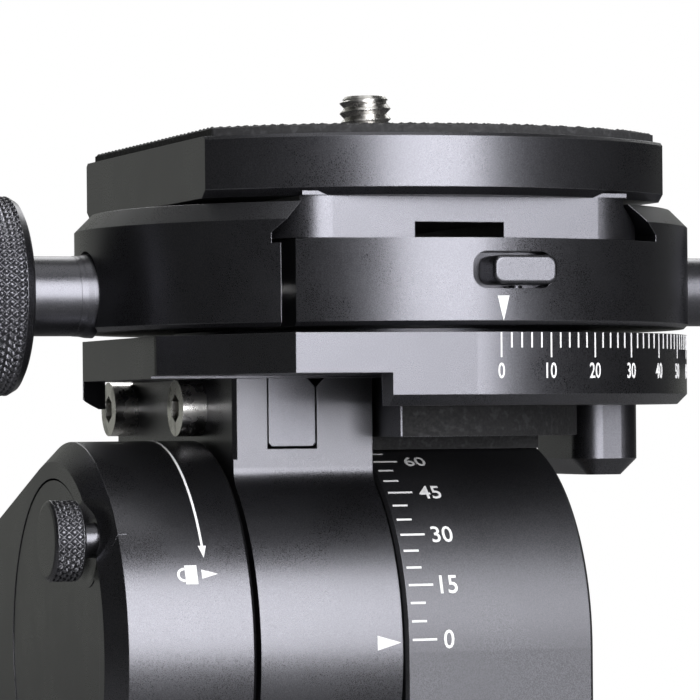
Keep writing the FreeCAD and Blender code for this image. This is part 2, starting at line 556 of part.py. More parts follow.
    def worm_bushes(self):
        """Bushes at both ends of the worm, the one away from the knob closed at its face."""
        label = self.name + "_worm_bushes"
        made = []
        for side in (1, -1):
            outer = cylinder(label, WORM_BORE, "worm_bush_long")
            hole = cylinder(label, "worm_shaft + run_fit", "worm_bush_long")
            ring = doc.addObject("Part::Cut", label + "_ring")
            ring.Base, ring.Tool = outer, hole
            near = "-drum_rad" if side < 0 else "drum_rad - worm_bush_long"
            ring.Placement = Placement(Vector(0, 0, 0), Rotation(Vector(1, 0, 0), -90))
            ring.setExpression("Placement.Base.y", of_sheet(near))
            made.append(ring)
        group_of(label, made, self, "wheel_x", "0", f"-{WORM_LOW}")

    def worm_knob(self):
        """Fluted knob on the worm's shaft."""
        piece = Piece(self.name + "_worm_knob")
        start = "drum_rad + dial_gap"
        end = f"({start} + dial_long)"
        piece.turn([("worm_shaft", start), ("dial_rad - 1", start), ("dial_rad", f"{start} + 1"),
                    ("dial_rad", f"{end} - 1"), ("dial_rad - 1", end), ("worm_shaft", end)])
        flute = piece.cut(piece.circle("XY", "dial_flute", "dial_rad", "0", start), "dial_long")
        piece.repeat(flute, "Z", "20")
        turn = Rotation(Vector(1, 0, 0), -90 * self.knob_side)
        self.seat(piece, "wheel_x", "0", f"-{WORM_LOW}", turn)

    def lock_knob(self):
        """Lock drum with its lever, end recess and the scoop round the friction screw."""
        piece = Piece(self.name + "_lock_knob")
        recess = f"{KNOB_LEFT} + disc_thick + disc_inset"
        piece.turn([(KNOB_RIGHT, "stud_rad"), (KNOB_RIGHT, "knob_rad - edge_break"),
                    (f"{KNOB_RIGHT} - edge_break", "knob_rad"), (f"{KNOB_LEFT} + knob_chamfer", "knob_rad"),
                    (KNOB_LEFT, "knob_rad - knob_chamfer"), (KNOB_LEFT, "stud_rad")], axis="H_Axis")
        spread = "(acos((knob_rad - knob_chamfer - lever_tip) / lever_long) / 1 deg)"
        big = "(knob_rad - knob_chamfer)"
        tip_y = "lever_long * cos(lever_up)"
        tip_z = "lever_long * sin(lever_up)"
        arm = [(f"{big} * cos(lever_up + {spread})", f"{big} * sin(lever_up + {spread})"),
               (f"{big} * cos(lever_up - {spread})", f"{big} * sin(lever_up - {spread})"),
               (f"{tip_y} + lever_tip * cos(lever_up - {spread})", f"{tip_z} + lever_tip * sin(lever_up - {spread})"),
               (f"{tip_y} + lever_tip * cos(lever_up + {spread})", f"{tip_z} + lever_tip * sin(lever_up + {spread})")]
        piece.pad(piece.outline("YZ", arm, KNOB_LEFT), "lever_thick")
        piece.pad(piece.circle("YZ", "lever_tip", tip_y, tip_z, KNOB_LEFT), "lever_thick")
        piece.cut(piece.circle("YZ", "disc_rad", start=KNOB_LEFT), "disc_thick + disc_inset")
        scoop = piece.circle("YZ", "scoop_rad", PINCH_Y, PINCH_Z, KNOB_LEFT)
        piece.cut(scoop, "scoop_deep")
        screw = piece.circle("YZ", "pinch_shank + run_fit", PINCH_Y, PINCH_Z, KNOB_LEFT)
        piece.cut(screw, "knob_wide - 3")
        self.seat(piece)

    def lock_disc(self):
        """Disc in the knob's end, notched where the friction screw passes."""
        piece = Piece(self.name + "_lock_disc")
        start = f"{KNOB_LEFT} + disc_inset"
        piece.pad(piece.circle("YZ", "disc_rad - disc_seam", start=start), "disc_thick")
        piece.cut(piece.circle("YZ", "scoop_rad", PINCH_Y, PINCH_Z, start), "disc_thick")
        self.seat(piece)

    def lock_stud(self):
        """Stud from the lock knob into the shaft."""
        piece = Piece(self.name + "_lock_stud")
        start = f"{KNOB_LEFT} + disc_thick + disc_inset"
        length = "knob_wide - disc_thick - disc_inset + knob_gap + stud_long"
        piece.pad(piece.circle("YZ", "stud_rad", start=start), length)
        self.seat(piece)

    def friction_screw(self):
        """Thumbscrew in the lock knob, which sets the drag."""
        piece = Piece(self.name + "_friction_screw")
        back = f"{KNOB_LEFT} + scoop_deep - pinch_neck - pinch_head"
        neck = f"{KNOB_LEFT} + scoop_deep - pinch_neck"
        piece.pad(piece.circle("YZ", "pinch_rad", PINCH_Y, PINCH_Z, back), "pinch_head")
        piece.round_edges("Chamfer", "edge_break", flat_cap("pinch_rad"))
        piece.pad(piece.circle("YZ", "pinch_shank", PINCH_Y, PINCH_Z, neck), "pinch_neck + knob_wide - 8")
        self.seat(piece)

    def build(self, back, screws):
        """Every piece that both stages have alike. The housing comes back unseated."""
        self.cover()
        self.bushes()
        self.bracket(back, screws)
        self.shaft()
        self.washer()
        self.wheel()
        self.worm()
        self.worm_bushes()
        self.worm_knob()
        self.lock_knob()
        self.lock_disc()
        self.lock_stud()
        self.friction_screw()
        cover_screws(self)
        cross_screws(self, screws)
        return self.housing()


PINCH_Y = "(-pinch_reach * cos(pinch_angle))"
PINCH_Z = "(pinch_reach * sin(pinch_angle))"


def at_ends(edge, ends, low):
    """An edge in one of the housing's end faces, but not its bottom edge."""
    box = edge.BoundBox
    flat = any(abs(box.XMin - end) < SAME and abs(box.XMax - end) < SAME for end in ends)
    return flat and box.ZMax > low + SAME


def cylinder(label, radius, height, x="0", y="0", z="0", turn=None):
    """A Part cylinder with its size and place bound to the sheet."""
    item = doc.addObject("Part::Cylinder", label + "_cylinder")
    item.setExpression("Radius", of_sheet(radius))
    item.setExpression("Height", of_sheet(height))
    put(item, x, y, z, turn)
    return item


def group_of(label, items, stage=None, x="0", y="0", z="0"):
    """A node of several separate solids."""
    group = doc.addObject("Part::Compound", label)
    group.Label = label
    group.Links = items
    Piece.made.append(group)
    doc.recompute()
    if stage:
        stage.seat(group, x, y, z)
    else:
        put(group, x, y, z)
    return group


def socket_screw(label, head, high, shank, length, x, y, z, turn):
    """A cap screw whose head's underside is at its place, head along the turned -Z."""
    cap = cylinder(label, head, high, z=f"-({high})")
    rod = cylinder(label, shank, length)
    socket = doc.addObject("Part::Prism", label + "_socket")
    socket.Polygon = 6
    socket.setExpression("Circumradius", of_sheet(f"hex_rad * {head} / screw_head"))
    socket.setExpression("Height", of_sheet(f"hex_deep * {high} / screw_high"))
    socket.setExpression("Placement.Base.z", of_sheet(f"-({high})"))
    whole = doc.addObject("Part::Fuse", label + "_whole")
    whole.Base, whole.Tool = cap, rod
    screw = doc.addObject("Part::Cut", label + "_screw")
    screw.Base, screw.Tool = whole, socket
    put(screw, x, y, z, turn)
    return screw


def cross_screws(stage, places):
    """The two cap screws through the block and the tenon."""
    label = stage.name + "_bracket_screws"
    into = Rotation(Vector(0, 1, 0), 90)
    made = [socket_screw(label, "screw_head", "screw_high", "screw_rad", "screw_long",
                         RING_LEFT, place, "screw_z", into) for place in places]
    group_of(label, made, stage)


def cover_screws(stage):
    """Four cap screws sunk into the housing's cover."""
    label = stage.name + "_cover_screws"
    into = Rotation(Vector(0, 1, 0), -90)
    ring = "cover_screw_ring"
    places = [(ring, "0"), ("0", ring), (f"-{ring}", "0"), ("0", f"-{ring}")]
    made = [socket_screw(label, "cover_screw_head", "cover_screw_high", "cover_screw_rad", "cover_screw_long",
                         f"{HOUSE_RIGHT} - cover_screw_high", y, z, into) for y, z in places]
    group_of(label, made, stage)


TILT_SCREWS = ("screw_front", "screw_front + screw_pitch")
ROLL_SCREWS = ("screw_front_low", "screw_front_low + screw_pitch_low")

tilt = Stage("tilt", "tilt_z", False, "tilt_z - roll_z - deck_low", -1)
roll = Stage("roll", "roll_z", True, "roll_z - base_thick", 1)
roll_housing = roll.build("block_back_low", ROLL_SCREWS)

# The tilt housing stands on the roll stage's block: its underside is cut to the block's top, and a tenon
# along X goes down into the block's slot.
tilt_housing = tilt.build("block_back", TILT_SCREWS)
FOOT = "(roll_z + deck_low - tilt_z)"
SEAT = "(roll_z + block_top - tilt_z)"
step = rectangle("-drum_rad - 1", f"{FOOT} - 1", f"{RING_RIGHT} + notch_gap", SEAT)
tilt_housing.cut(tilt_housing.outline("YZ", step, "house_left - 1"), "house_wide + 2")
tenon = [(x, f"roll_z - tilt_z + {z}") for x, z in TENON]
tilt_housing.pad(tilt_housing.outline("YZ", tenon, "house_left"), "block_front - house_left")
for place in ROLL_SCREWS:
    hole = tilt_housing.circle("XZ", "screw_rad", f"-({place})", "roll_z + screw_z - tilt_z", "-(slot_left + slot_wide) - 1")
    tilt_housing.cut(hole, "slot_wide + 2")
tilt.seat(tilt_housing)

# ---------------------------------------------------------------- base


def base():
    """Round base plate with the tripod thread, the screws that hold the roll housing on it, their holes."""
    plate = Piece("base_plate")
    plate.turn([("0", "0"), ("base_rad - base_chamfer", "0"), ("base_rad", "base_chamfer"),
                ("base_rad", "base_thick - base_chamfer"), ("base_rad - base_chamfer", "base_thick"),
                ("0", "base_thick")])
    plate.cut(plate.circle("XY", "thread_rad"), "base_thick")
    made = []
    for side in (-1, 1):
        for end in ("house_left + 5", f"{HOUSE_RIGHT} - 5"):
            x = f"{side} * (drum_rad - 6)"
            plate.cut(plate.circle("XY", "screw_head", x, end), "screw_high")
            plate.cut(plate.circle("XY", "screw_rad", x, end), "base_thick")
            made.append(socket_screw("base_screws", "screw_head", "screw_high", "screw_rad",
                                     "base_thick - screw_high + base_screw_in", x, end, "screw_high", Rotation()))
            roll_housing.cut(roll_housing.circle("XY", "screw_rad", end, f"-({x})", f"-({roll.foot})"), "base_screw_in")
    group_of("base_screws", made)


base()
roll.seat(roll_housing)

# ---------------------------------------------------------------- pan base


def pan_base():
    """Disc on the tilt block: flats at the left, a cut-away lower layer, a skirt, a tenon and a stop block."""
    piece = Piece("pan_base")
    piece.pad(piece.circle("XY", "pan_rad", start="deck_low"), "pan_top - deck_low")
    under = "deck_low - 1"
    corner = "((pan_facet - pan_flat * sin(facet_turn)) / cos(facet_turn))"
    beyond = "(far * cos(facet_turn) - pan_facet) / sin(facet_turn)"
    left = [("-far", "-far"), (beyond, "-far"), ("-pan_flat", f"-{corner}"), ("-pan_flat", "far"), ("-far", "far")]
    piece.cut(piece.outline("XY", left, under), "pan_top - deck_low + 2")
    bottom = number("deck_low")
    piece.round_edges("Chamfer", "pan_chamfer", lambda edge: edge.BoundBox.ZMax < bottom + SAME)
    # Room for the ring's block under the upper layer, open to the left and the rear beside a lug.
    right = f"({RING_RIGHT} + notch_gap)"
    mouth = [("-far", "-far"), ("notch_rim", "-far"), ("notch_rim", "-pan_rad + 1"), (right, "-block_front")]
    notch = mouth + [(right, "far"), ("-lug_left", "far"), ("-lug_left", "lug_front"),
                     ("-far", "lug_front - far + lug_left")]
    piece.cut(piece.outline("XY", notch, under), "block_top - deck_low + 1")
    front = mouth + [("-far", "-block_front")]
    piece.cut(piece.outline("XY", front, under), "pan_step - deck_low + 1")
    piece.pad(piece.circle("XY", "skirt_rad", start="skirt_low"), "deck_low - skirt_low + 1")
    aside = rectangle("-skirt_rad - 1", "-skirt_rad - 1", right, "skirt_rad + 1")
    piece.cut(piece.outline("XY", aside, "skirt_low - 1"), "block_top - skirt_low + 1")
    piece.pad(piece.outline("XZ", TENON, "-block_back"), "block_front + block_back - 0.3")
    for place in TILT_SCREWS:
        piece.cut(piece.circle("YZ", "screw_rad", place, "screw_z", "slot_left - 1"), "slot_wide + 2")
    stop = rectangle("foot_left", "foot_low", "foot_right", "deck_low + 1")
    piece.pad(piece.outline("XZ", stop, "-foot_back"), "foot_back - foot_front")
    low = number("foot_low")
    left = number("foot_left") - SAME
    piece.round_edges("Fillet", "foot_round", lambda edge: edge.BoundBox.XMin > left
                      and abs(edge.BoundBox.ZMin - low) < SAME and edge.BoundBox.ZMax > low + 1)
    piece.round_edges("Chamfer", "foot_chamfer", lambda edge: edge.BoundBox.XMin > left
                      and edge.BoundBox.ZMax < low + SAME)
    piece.cut(piece.circle("XY", "spindle_flange", start="pan_top - flange_thick"), "flange_thick")
    piece.seat(z="tilt_z")


def pan_parts():
    """Spindle, thrust washer and retaining nut of the pan axis."""
    spindle = Piece("pan_spindle")
    low, top = "pan_top - flange_thick", "groove_floor - 0.4"
    neck = "groove_floor - nut_high - 0.5"
    spindle.turn([("0", low), ("spindle_flange", low), ("spindle_flange", "pan_top"), ("spindle_rad", "pan_top"),
                  ("spindle_rad", neck), ("spindle_end", neck), ("spindle_end", top), ("0", top)])
    spindle.seat(z="tilt_z")
    nut = Piece("pan_nut")
    nut.pad(nut.circle("XY", "nut_rad", start=neck), "nut_high")
    nut.cut(nut.circle("XY", "spindle_end", start=neck), "nut_high")
    nut.seat(z="tilt_z")
    washer = Piece("pan_washer")
    thick = "clamp_low - pan_top - 0.1"
    washer.pad(washer.circle("XY", "washer_rad", start="pan_top"), thick)
    washer.cut(washer.circle("XY", "spindle_rad", start="pan_top"), thick)
    washer.seat(z="tilt_z")


# ---------------------------------------------------------------- clamp

JAW_FACE = "(split_x - split_gap)"
CLAMP_ROUND = [("0", "clamp_low"), ("clamp_rad - rim_break", "clamp_low"), ("clamp_rad", "clamp_low + rim_break"),
               ("clamp_rad", "clamp_top - clamp_chamfer"), ("clamp_rad - clamp_chamfer", "clamp_top"),
               ("0", "clamp_top")]


def clamp_body():
    """Round clamp with the fixed right jaw, the groove's floor and the bores of what moves in it."""
    piece = Piece("clamp_body")
    piece.turn(CLAMP_ROUND)
    wall = "lip_right + lip_under"
    groove = [("-far", "clamp_low - 1"), ("split_x", "clamp_low - 1"), ("split_x", "groove_floor"),
              (wall, "groove_floor"), (wall, "clamp_top - lip_under"), ("lip_right", "clamp_top"),
              ("lip_right", "clamp_top + 1"), ("-far", "clamp_top + 1")]
    piece.cut(piece.outline("XZ", groove, "-far"), "2 * far")
    piece.cut(piece.circle("XY", "spindle_rad + run_fit", start="clamp_low"), "groove_floor - clamp_low")
    piece.cut(piece.circle("XY", "nut_rad + 0.3", start="groove_floor - nut_high - 0.8"), "nut_high + 0.8")
    piece.cut(piece.circle("YZ", "clamp_thread + run_fit", "0", "clamp_shaft_z", "split_x"), "clamp_screw_in + 1")
    for side in ("-pin_y", "pin_y"):
        piece.cut(piece.circle("YZ", "pin_rad + run_fit", side, "clamp_shaft_z", "split_x"),
                  "pin_slide + spring_long + 0.6")
    piece.cut(piece.circle("YZ", "lock_thread + run_fit", "0", "lock_shaft_z", "0"), "clamp_rad + 1")
    half = "(latch_high / 2 + latch_room)"
    slot = rectangle("latch_x - latch_wide / 2 - latch_travel", f"latch_z - {half}",
                     "latch_x + latch_wide / 2 + latch_room / 4", f"latch_z + {half}")
    piece.cut(piece.rounded("XZ", slot, "latch_round + latch_room", "clamp_rad - latch_deep"), "latch_deep + 1")
    piece.cut(piece.circle("XY", "detent_rad", "latch_x", "-(clamp_rad - latch_deep / 2 - 0.6)", "clamp_low"),
              "latch_z - latch_high / 2 - clamp_low")
    piece.seat(z="tilt_z")


def clamp_jaw():
    """Movable left jaw, the same round form cut to its own undercut."""
    piece = Piece("clamp_jaw")
    piece.turn(CLAMP_ROUND)
    wall = "lip_left - lip_under"
    away = [("far", "clamp_low - 1"), (JAW_FACE, "clamp_low - 1"), (JAW_FACE, "groove_floor - 0.4"),
            (wall, "groove_floor - 0.4"), (wall, "clamp_top - lip_under"), ("lip_left", "clamp_top"),
            ("lip_left", "clamp_top + 1"), ("far", "clamp_top + 1")]
    piece.cut(piece.outline("XZ", away, "-far"), "2 * far")
    piece.cut(piece.circle("YZ", "clamp_thread + run_fit", "0", "clamp_shaft_z", "-clamp_rad"), "clamp_rad")
    for side in ("-pin_y", "pin_y"):
        piece.cut(piece.circle("YZ", "pin_rad", side, "clamp_shaft_z", f"{JAW_FACE} - pin_hold"), "pin_hold")
    piece.cut(piece.circle("YZ", "clamp_shaft + spot_room", "0", "clamp_shaft_z", "-clamp_rad - 1"), "spot_deep + 1")
    piece.seat(z="tilt_z")


def clamp_parts():
    """Clamp screw, its knob, the jaw's guide pins and their springs."""
    screw = Piece("clamp_screw")
    shoulder = "(-clamp_rad + spot_deep - 0.05)"
    screw.turn([("clamp_knob_x - clamp_knob_long + 2", "0"), ("clamp_knob_x - clamp_knob_long + 2", "clamp_shaft"),
                (shoulder, "clamp_shaft"), (shoulder, "clamp_thread"), ("split_x + clamp_screw_in", "clamp_thread"),
                ("split_x + clamp_screw_in", "0")], axis="H_Axis")
    screw.seat(z="tilt_z + clamp_shaft_z")
    knob = Piece("clamp_knob")
    outer = "clamp_knob_x - clamp_knob_long"
    knob.turn([(outer, "0"), (outer, "clamp_knob_rad - 1.5"), (f"{outer} + 1.5", "clamp_knob_rad"),
               ("clamp_knob_x - 1.2", "clamp_knob_rad"), ("clamp_knob_x", "clamp_knob_rad - 1.2"),
               ("clamp_knob_x", "clamp_shaft"), (f"{outer} + 2", "clamp_shaft"), (f"{outer} + 2", "0")],
              axis="H_Axis")
    knob.seat(z="tilt_z + clamp_shaft_z")
    across = Rotation(Vector(0, 1, 0), 90)
    pins = [cylinder("jaw_guide_pins", "pin_rad", "pin_hold + split_gap + pin_slide", f"{JAW_FACE} - pin_hold", side,
                     "tilt_z + clamp_shaft_z", across) for side in ("-pin_y", "pin_y")]
    group_of("jaw_guide_pins", pins)
    springs = []
    for side in ("-pin_y", "pin_y"):
        coil = cylinder("jaw_springs", "pin_rad - 0.1", "spring_long", "split_x + pin_slide + 0.3", side,
                        "tilt_z + clamp_shaft_z", across)
        inside = cylinder("jaw_springs", "pin_rad - 0.7", "spring_long", "split_x + pin_slide + 0.3", side,
                          "tilt_z + clamp_shaft_z", across)
        tube = doc.addObject("Part::Cut", "jaw_spring")
        tube.Base, tube.Tool = coil, inside
        springs.append(tube)
    group_of("jaw_springs", springs)


def pan_lock():
    """Pan lock screw with its knob, and the brake shoe that it presses on the spindle."""
    screw = Piece("pan_lock_screw")
    tip = "spindle_rad + run_fit + shoe_long + 0.3"
    screw.turn([(tip, "0"), (tip, "lock_thread"), ("clamp_rad + 0.3", "lock_thread"),
                ("clamp_rad + 0.3", "lock_shaft"), ("lock_knob_x + lock_knob_long - 2", "lock_shaft"),
                ("lock_knob_x + lock_knob_long - 2", "0")], axis="H_Axis")
    screw.seat(z="tilt_z + lock_shaft_z")
    knob = Piece("pan_lock_knob")
    outer = "lock_knob_x + lock_knob_long"
    knob.turn([("lock_knob_x", "lock_shaft"), ("lock_knob_x", "lock_knob_rad - 1.2"),
               ("lock_knob_x + 1.2", "lock_knob_rad"), (f"{outer} - 1.5", "lock_knob_rad"),
               (outer, "lock_knob_rad - 1.5"), (outer, "0"), (f"{outer} - 2", "0"), (f"{outer} - 2", "lock_shaft")],
              axis="H_Axis")
    knob.seat(z="tilt_z + lock_shaft_z")
    shoe = Piece("pan_brake_shoe")
    shoe.pad(shoe.circle("YZ", "lock_thread - 0.05", start="spindle_rad - 3"), "3 + shoe_long")
    shoe.cut(shoe.circle("XY", "spindle_rad + 0.1", start="-lock_thread - 1"), "2 * lock_thread + 2")
    shoe.seat(z="tilt_z + lock_shaft_z")


def slide_button():
    """Slide button with rounded corners and the detent plunger under it."""
    piece = Piece("slide_button")
    face = rectangle("latch_x - latch_wide / 2", "latch_z - latch_high / 2",
                     "latch_x + latch_wide / 2", "latch_z + latch_high / 2")
    piece.pad(piece.rounded("XZ", face, "latch_round", "clamp_rad - latch_deep + 0.3"),
              "latch_deep - 0.3 + latch_proud")
    front = number("-(clamp_rad + latch_proud)")
    piece.round_edges("Fillet", "0.45", lambda edge: abs(edge.BoundBox.YMin - front) < SAME
                      and abs(edge.BoundBox.YMax - front) < SAME)
    piece.seat(z="tilt_z")
    plunger = cylinder("button_detent", "detent_rad - 0.02", "latch_z - latch_high / 2 - clamp_low - 0.6",
                       "latch_x", "-(clamp_rad - latch_deep / 2 - 0.6)", "tilt_z + clamp_low + 0.5")
    group_of("button_detent", [plunger])


# ---------------------------------------------------------------- camera plate


def plate_cut(piece, flat, low, high):
    """Cut both side flats of the round plate."""
    for side in (-1, 1):
        beyond = rectangle(f"{side} * {flat}", "-far", f"{side} * far", "far")
        piece.cut(piece.outline("XY", beyond, low), high)


def camera_plate():
    """Round plate with side flats on a dovetail foot, its pad and the camera screw."""
    piece = Piece("camera_plate")
    piece.turn([("0", "plate_low"), ("plate_rad - plate_edge + plate_low", "plate_low"),
                ("plate_rad", "plate_edge"), ("plate_rad", "plate_top - edge_break"),
                ("plate_rad - edge_break", "plate_top"), ("0", "plate_top")])
    plate_cut(piece, "plate_flat", "plate_low - 1", "plate_top - plate_low + 2")
    left, right = "(lip_left + foot_fit)", "(lip_right - foot_fit)"
    low = "(groove_floor + foot_fit)"
    wide = "(lip_under - foot_fit)"
    foot = [(f"{left} - {wide}", low), (f"{right} + {wide}", low), (f"{right} + {wide}", "clamp_top - lip_under"),
            (right, "clamp_top - foot_fit"), (right, "plate_low + 0.5"), (left, "plate_low + 0.5"),
            (left, "clamp_top - foot_fit"), (f"{left} - {wide}", "clamp_top - lip_under")]
    piece.pad(piece.outline("XZ", foot, "-plate_foot"), "2 * plate_foot")
    plan = rectangle(f"{left} - {wide}", "-plate_foot", f"{right} + {wide}", "plate_foot")
    sketch = piece.rounded("XY", plan, "foot_corner", f"{low} - 1")
    piece.outline("XY", rectangle("-far", "-far", "far", "far"), sketch=sketch)
    piece.cut(sketch, f"plate_low - {low} + 1")
    channel = rectangle("channel_left", f"{low} - 1", "channel_left + channel_wide", f"{low} + channel_high")
    piece.cut(piece.outline("XZ", channel, "-far"), "2 * far")
    piece.cut(piece.circle("XY", "mount_neck + run_fit", start=low), "plate_top - groove_floor")
    piece.cut(piece.circle("XY", "mount_head + 0.2", start=low), "channel_high + mount_head_high + 0.3")
    piece.seat(y="plate_back", z="tilt_z")

    pad = Piece("plate_pad")
    pad.turn([("0", "plate_top"), ("plate_rad - pad_inset", "plate_top"), ("plate_rad - pad_inset", "pad_top - 0.3"),
              ("plate_rad - pad_inset - 0.3", "pad_top"), ("0", "pad_top")])
    plate_cut(pad, "(plate_flat - pad_inset)", "plate_top - 1", "pad_top - plate_top + 2")
    pad.cut(pad.circle("XY", "mount_screw_rad + 0.5", start="plate_top"), "pad_top - plate_top")
    pad.seat(y="plate_back", z="tilt_z")

    screw = Piece("camera_screw")
    seat_z = f"({low} + channel_high + mount_head_high)"
    head_low = f"({seat_z} - mount_head_high)"
    top = "(pad_top + mount_screw_up)"
    neck_top = "(pad_top + mount_neck_up)"
    screw.turn([("0", head_low), ("mount_head", head_low), ("mount_head", seat_z), ("mount_neck", seat_z),
                ("mount_neck", neck_top), ("mount_screw_rad", neck_top), ("mount_screw_rad", f"{top} - 0.8"),
                ("mount_screw_rad - 0.8", top), ("0", top)])
    screw.seat(y="plate_back", z="tilt_z")


pan_base()
pan_parts()
clamp_body()
clamp_jaw()
clamp_parts()
pan_lock()
slide_button()
camera_plate()

# ---------------------------------------------------------------- checks and files

doc.recompute()
for item in doc.Objects:
    if {"Invalid", "Error"} & set(item.State):
        raise RuntimeError(f"{item.Label} failed: {item.State}")
for item in Piece.made:
    if item.Shape.isNull() or not item.Shape.isValid():
        raise RuntimeError(f"{item.Label} has no valid shape")
os.makedirs("parts", exist_ok=True)
for item in Piece.made:
    item.Shape.exportStep(f"parts/{item.Label}.step")
    print(f"{item.Label:24s} solids {len(item.Shape.Solids)} volume {item.Shape.Volume:10.1f}")
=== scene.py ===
"""Looks of the geared tripod head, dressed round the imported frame.

Lengths are in millimetres until a mesh is made, and the row frame is in metres. Each sub-assembly is
a class that holds its sizes and builds its own pieces, and each finish is a frozen dataclass.
"""

import json
import logging
import math
from dataclasses import dataclass, field, replace
from enum import Enum

import bmesh
import bpy
import numpy as np
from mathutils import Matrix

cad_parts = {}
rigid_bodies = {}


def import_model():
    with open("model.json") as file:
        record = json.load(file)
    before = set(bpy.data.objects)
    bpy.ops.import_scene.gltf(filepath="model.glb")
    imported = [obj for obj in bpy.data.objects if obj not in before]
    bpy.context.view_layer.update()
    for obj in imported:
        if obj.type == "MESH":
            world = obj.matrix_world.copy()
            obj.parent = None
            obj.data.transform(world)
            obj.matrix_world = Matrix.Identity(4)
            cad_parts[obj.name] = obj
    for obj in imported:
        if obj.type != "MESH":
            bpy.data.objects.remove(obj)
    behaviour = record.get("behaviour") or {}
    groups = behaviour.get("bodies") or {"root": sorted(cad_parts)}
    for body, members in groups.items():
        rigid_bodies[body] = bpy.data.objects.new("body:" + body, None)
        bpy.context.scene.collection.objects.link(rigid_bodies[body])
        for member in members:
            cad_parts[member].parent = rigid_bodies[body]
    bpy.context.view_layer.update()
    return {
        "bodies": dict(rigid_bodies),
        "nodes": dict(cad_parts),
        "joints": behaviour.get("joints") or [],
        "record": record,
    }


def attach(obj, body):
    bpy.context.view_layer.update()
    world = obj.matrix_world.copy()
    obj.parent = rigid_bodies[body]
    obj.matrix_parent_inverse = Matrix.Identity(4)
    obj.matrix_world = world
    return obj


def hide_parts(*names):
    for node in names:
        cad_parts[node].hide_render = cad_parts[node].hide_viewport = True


MM = 0.001
TURN = 2.0 * math.pi
log = logging.getLogger("geared_head")

Colour = tuple[float, float, float]
Point = tuple[float, float, float]
Flat = tuple[float, float]
Array = np.ndarray
Material = bpy.types.Material
Piece = bpy.types.Object
Socket = bpy.types.NodeSocket


class Axis(Enum):
    """The row axis that a piece was turned about."""

    X = 0
    Y = 1
    Z = 2


def circle(count: int) -> Array:
    """A count of angles in radians, evenly spread over one turn from 0."""
    return np.arange(count) / count * TURN


# -------- finishes


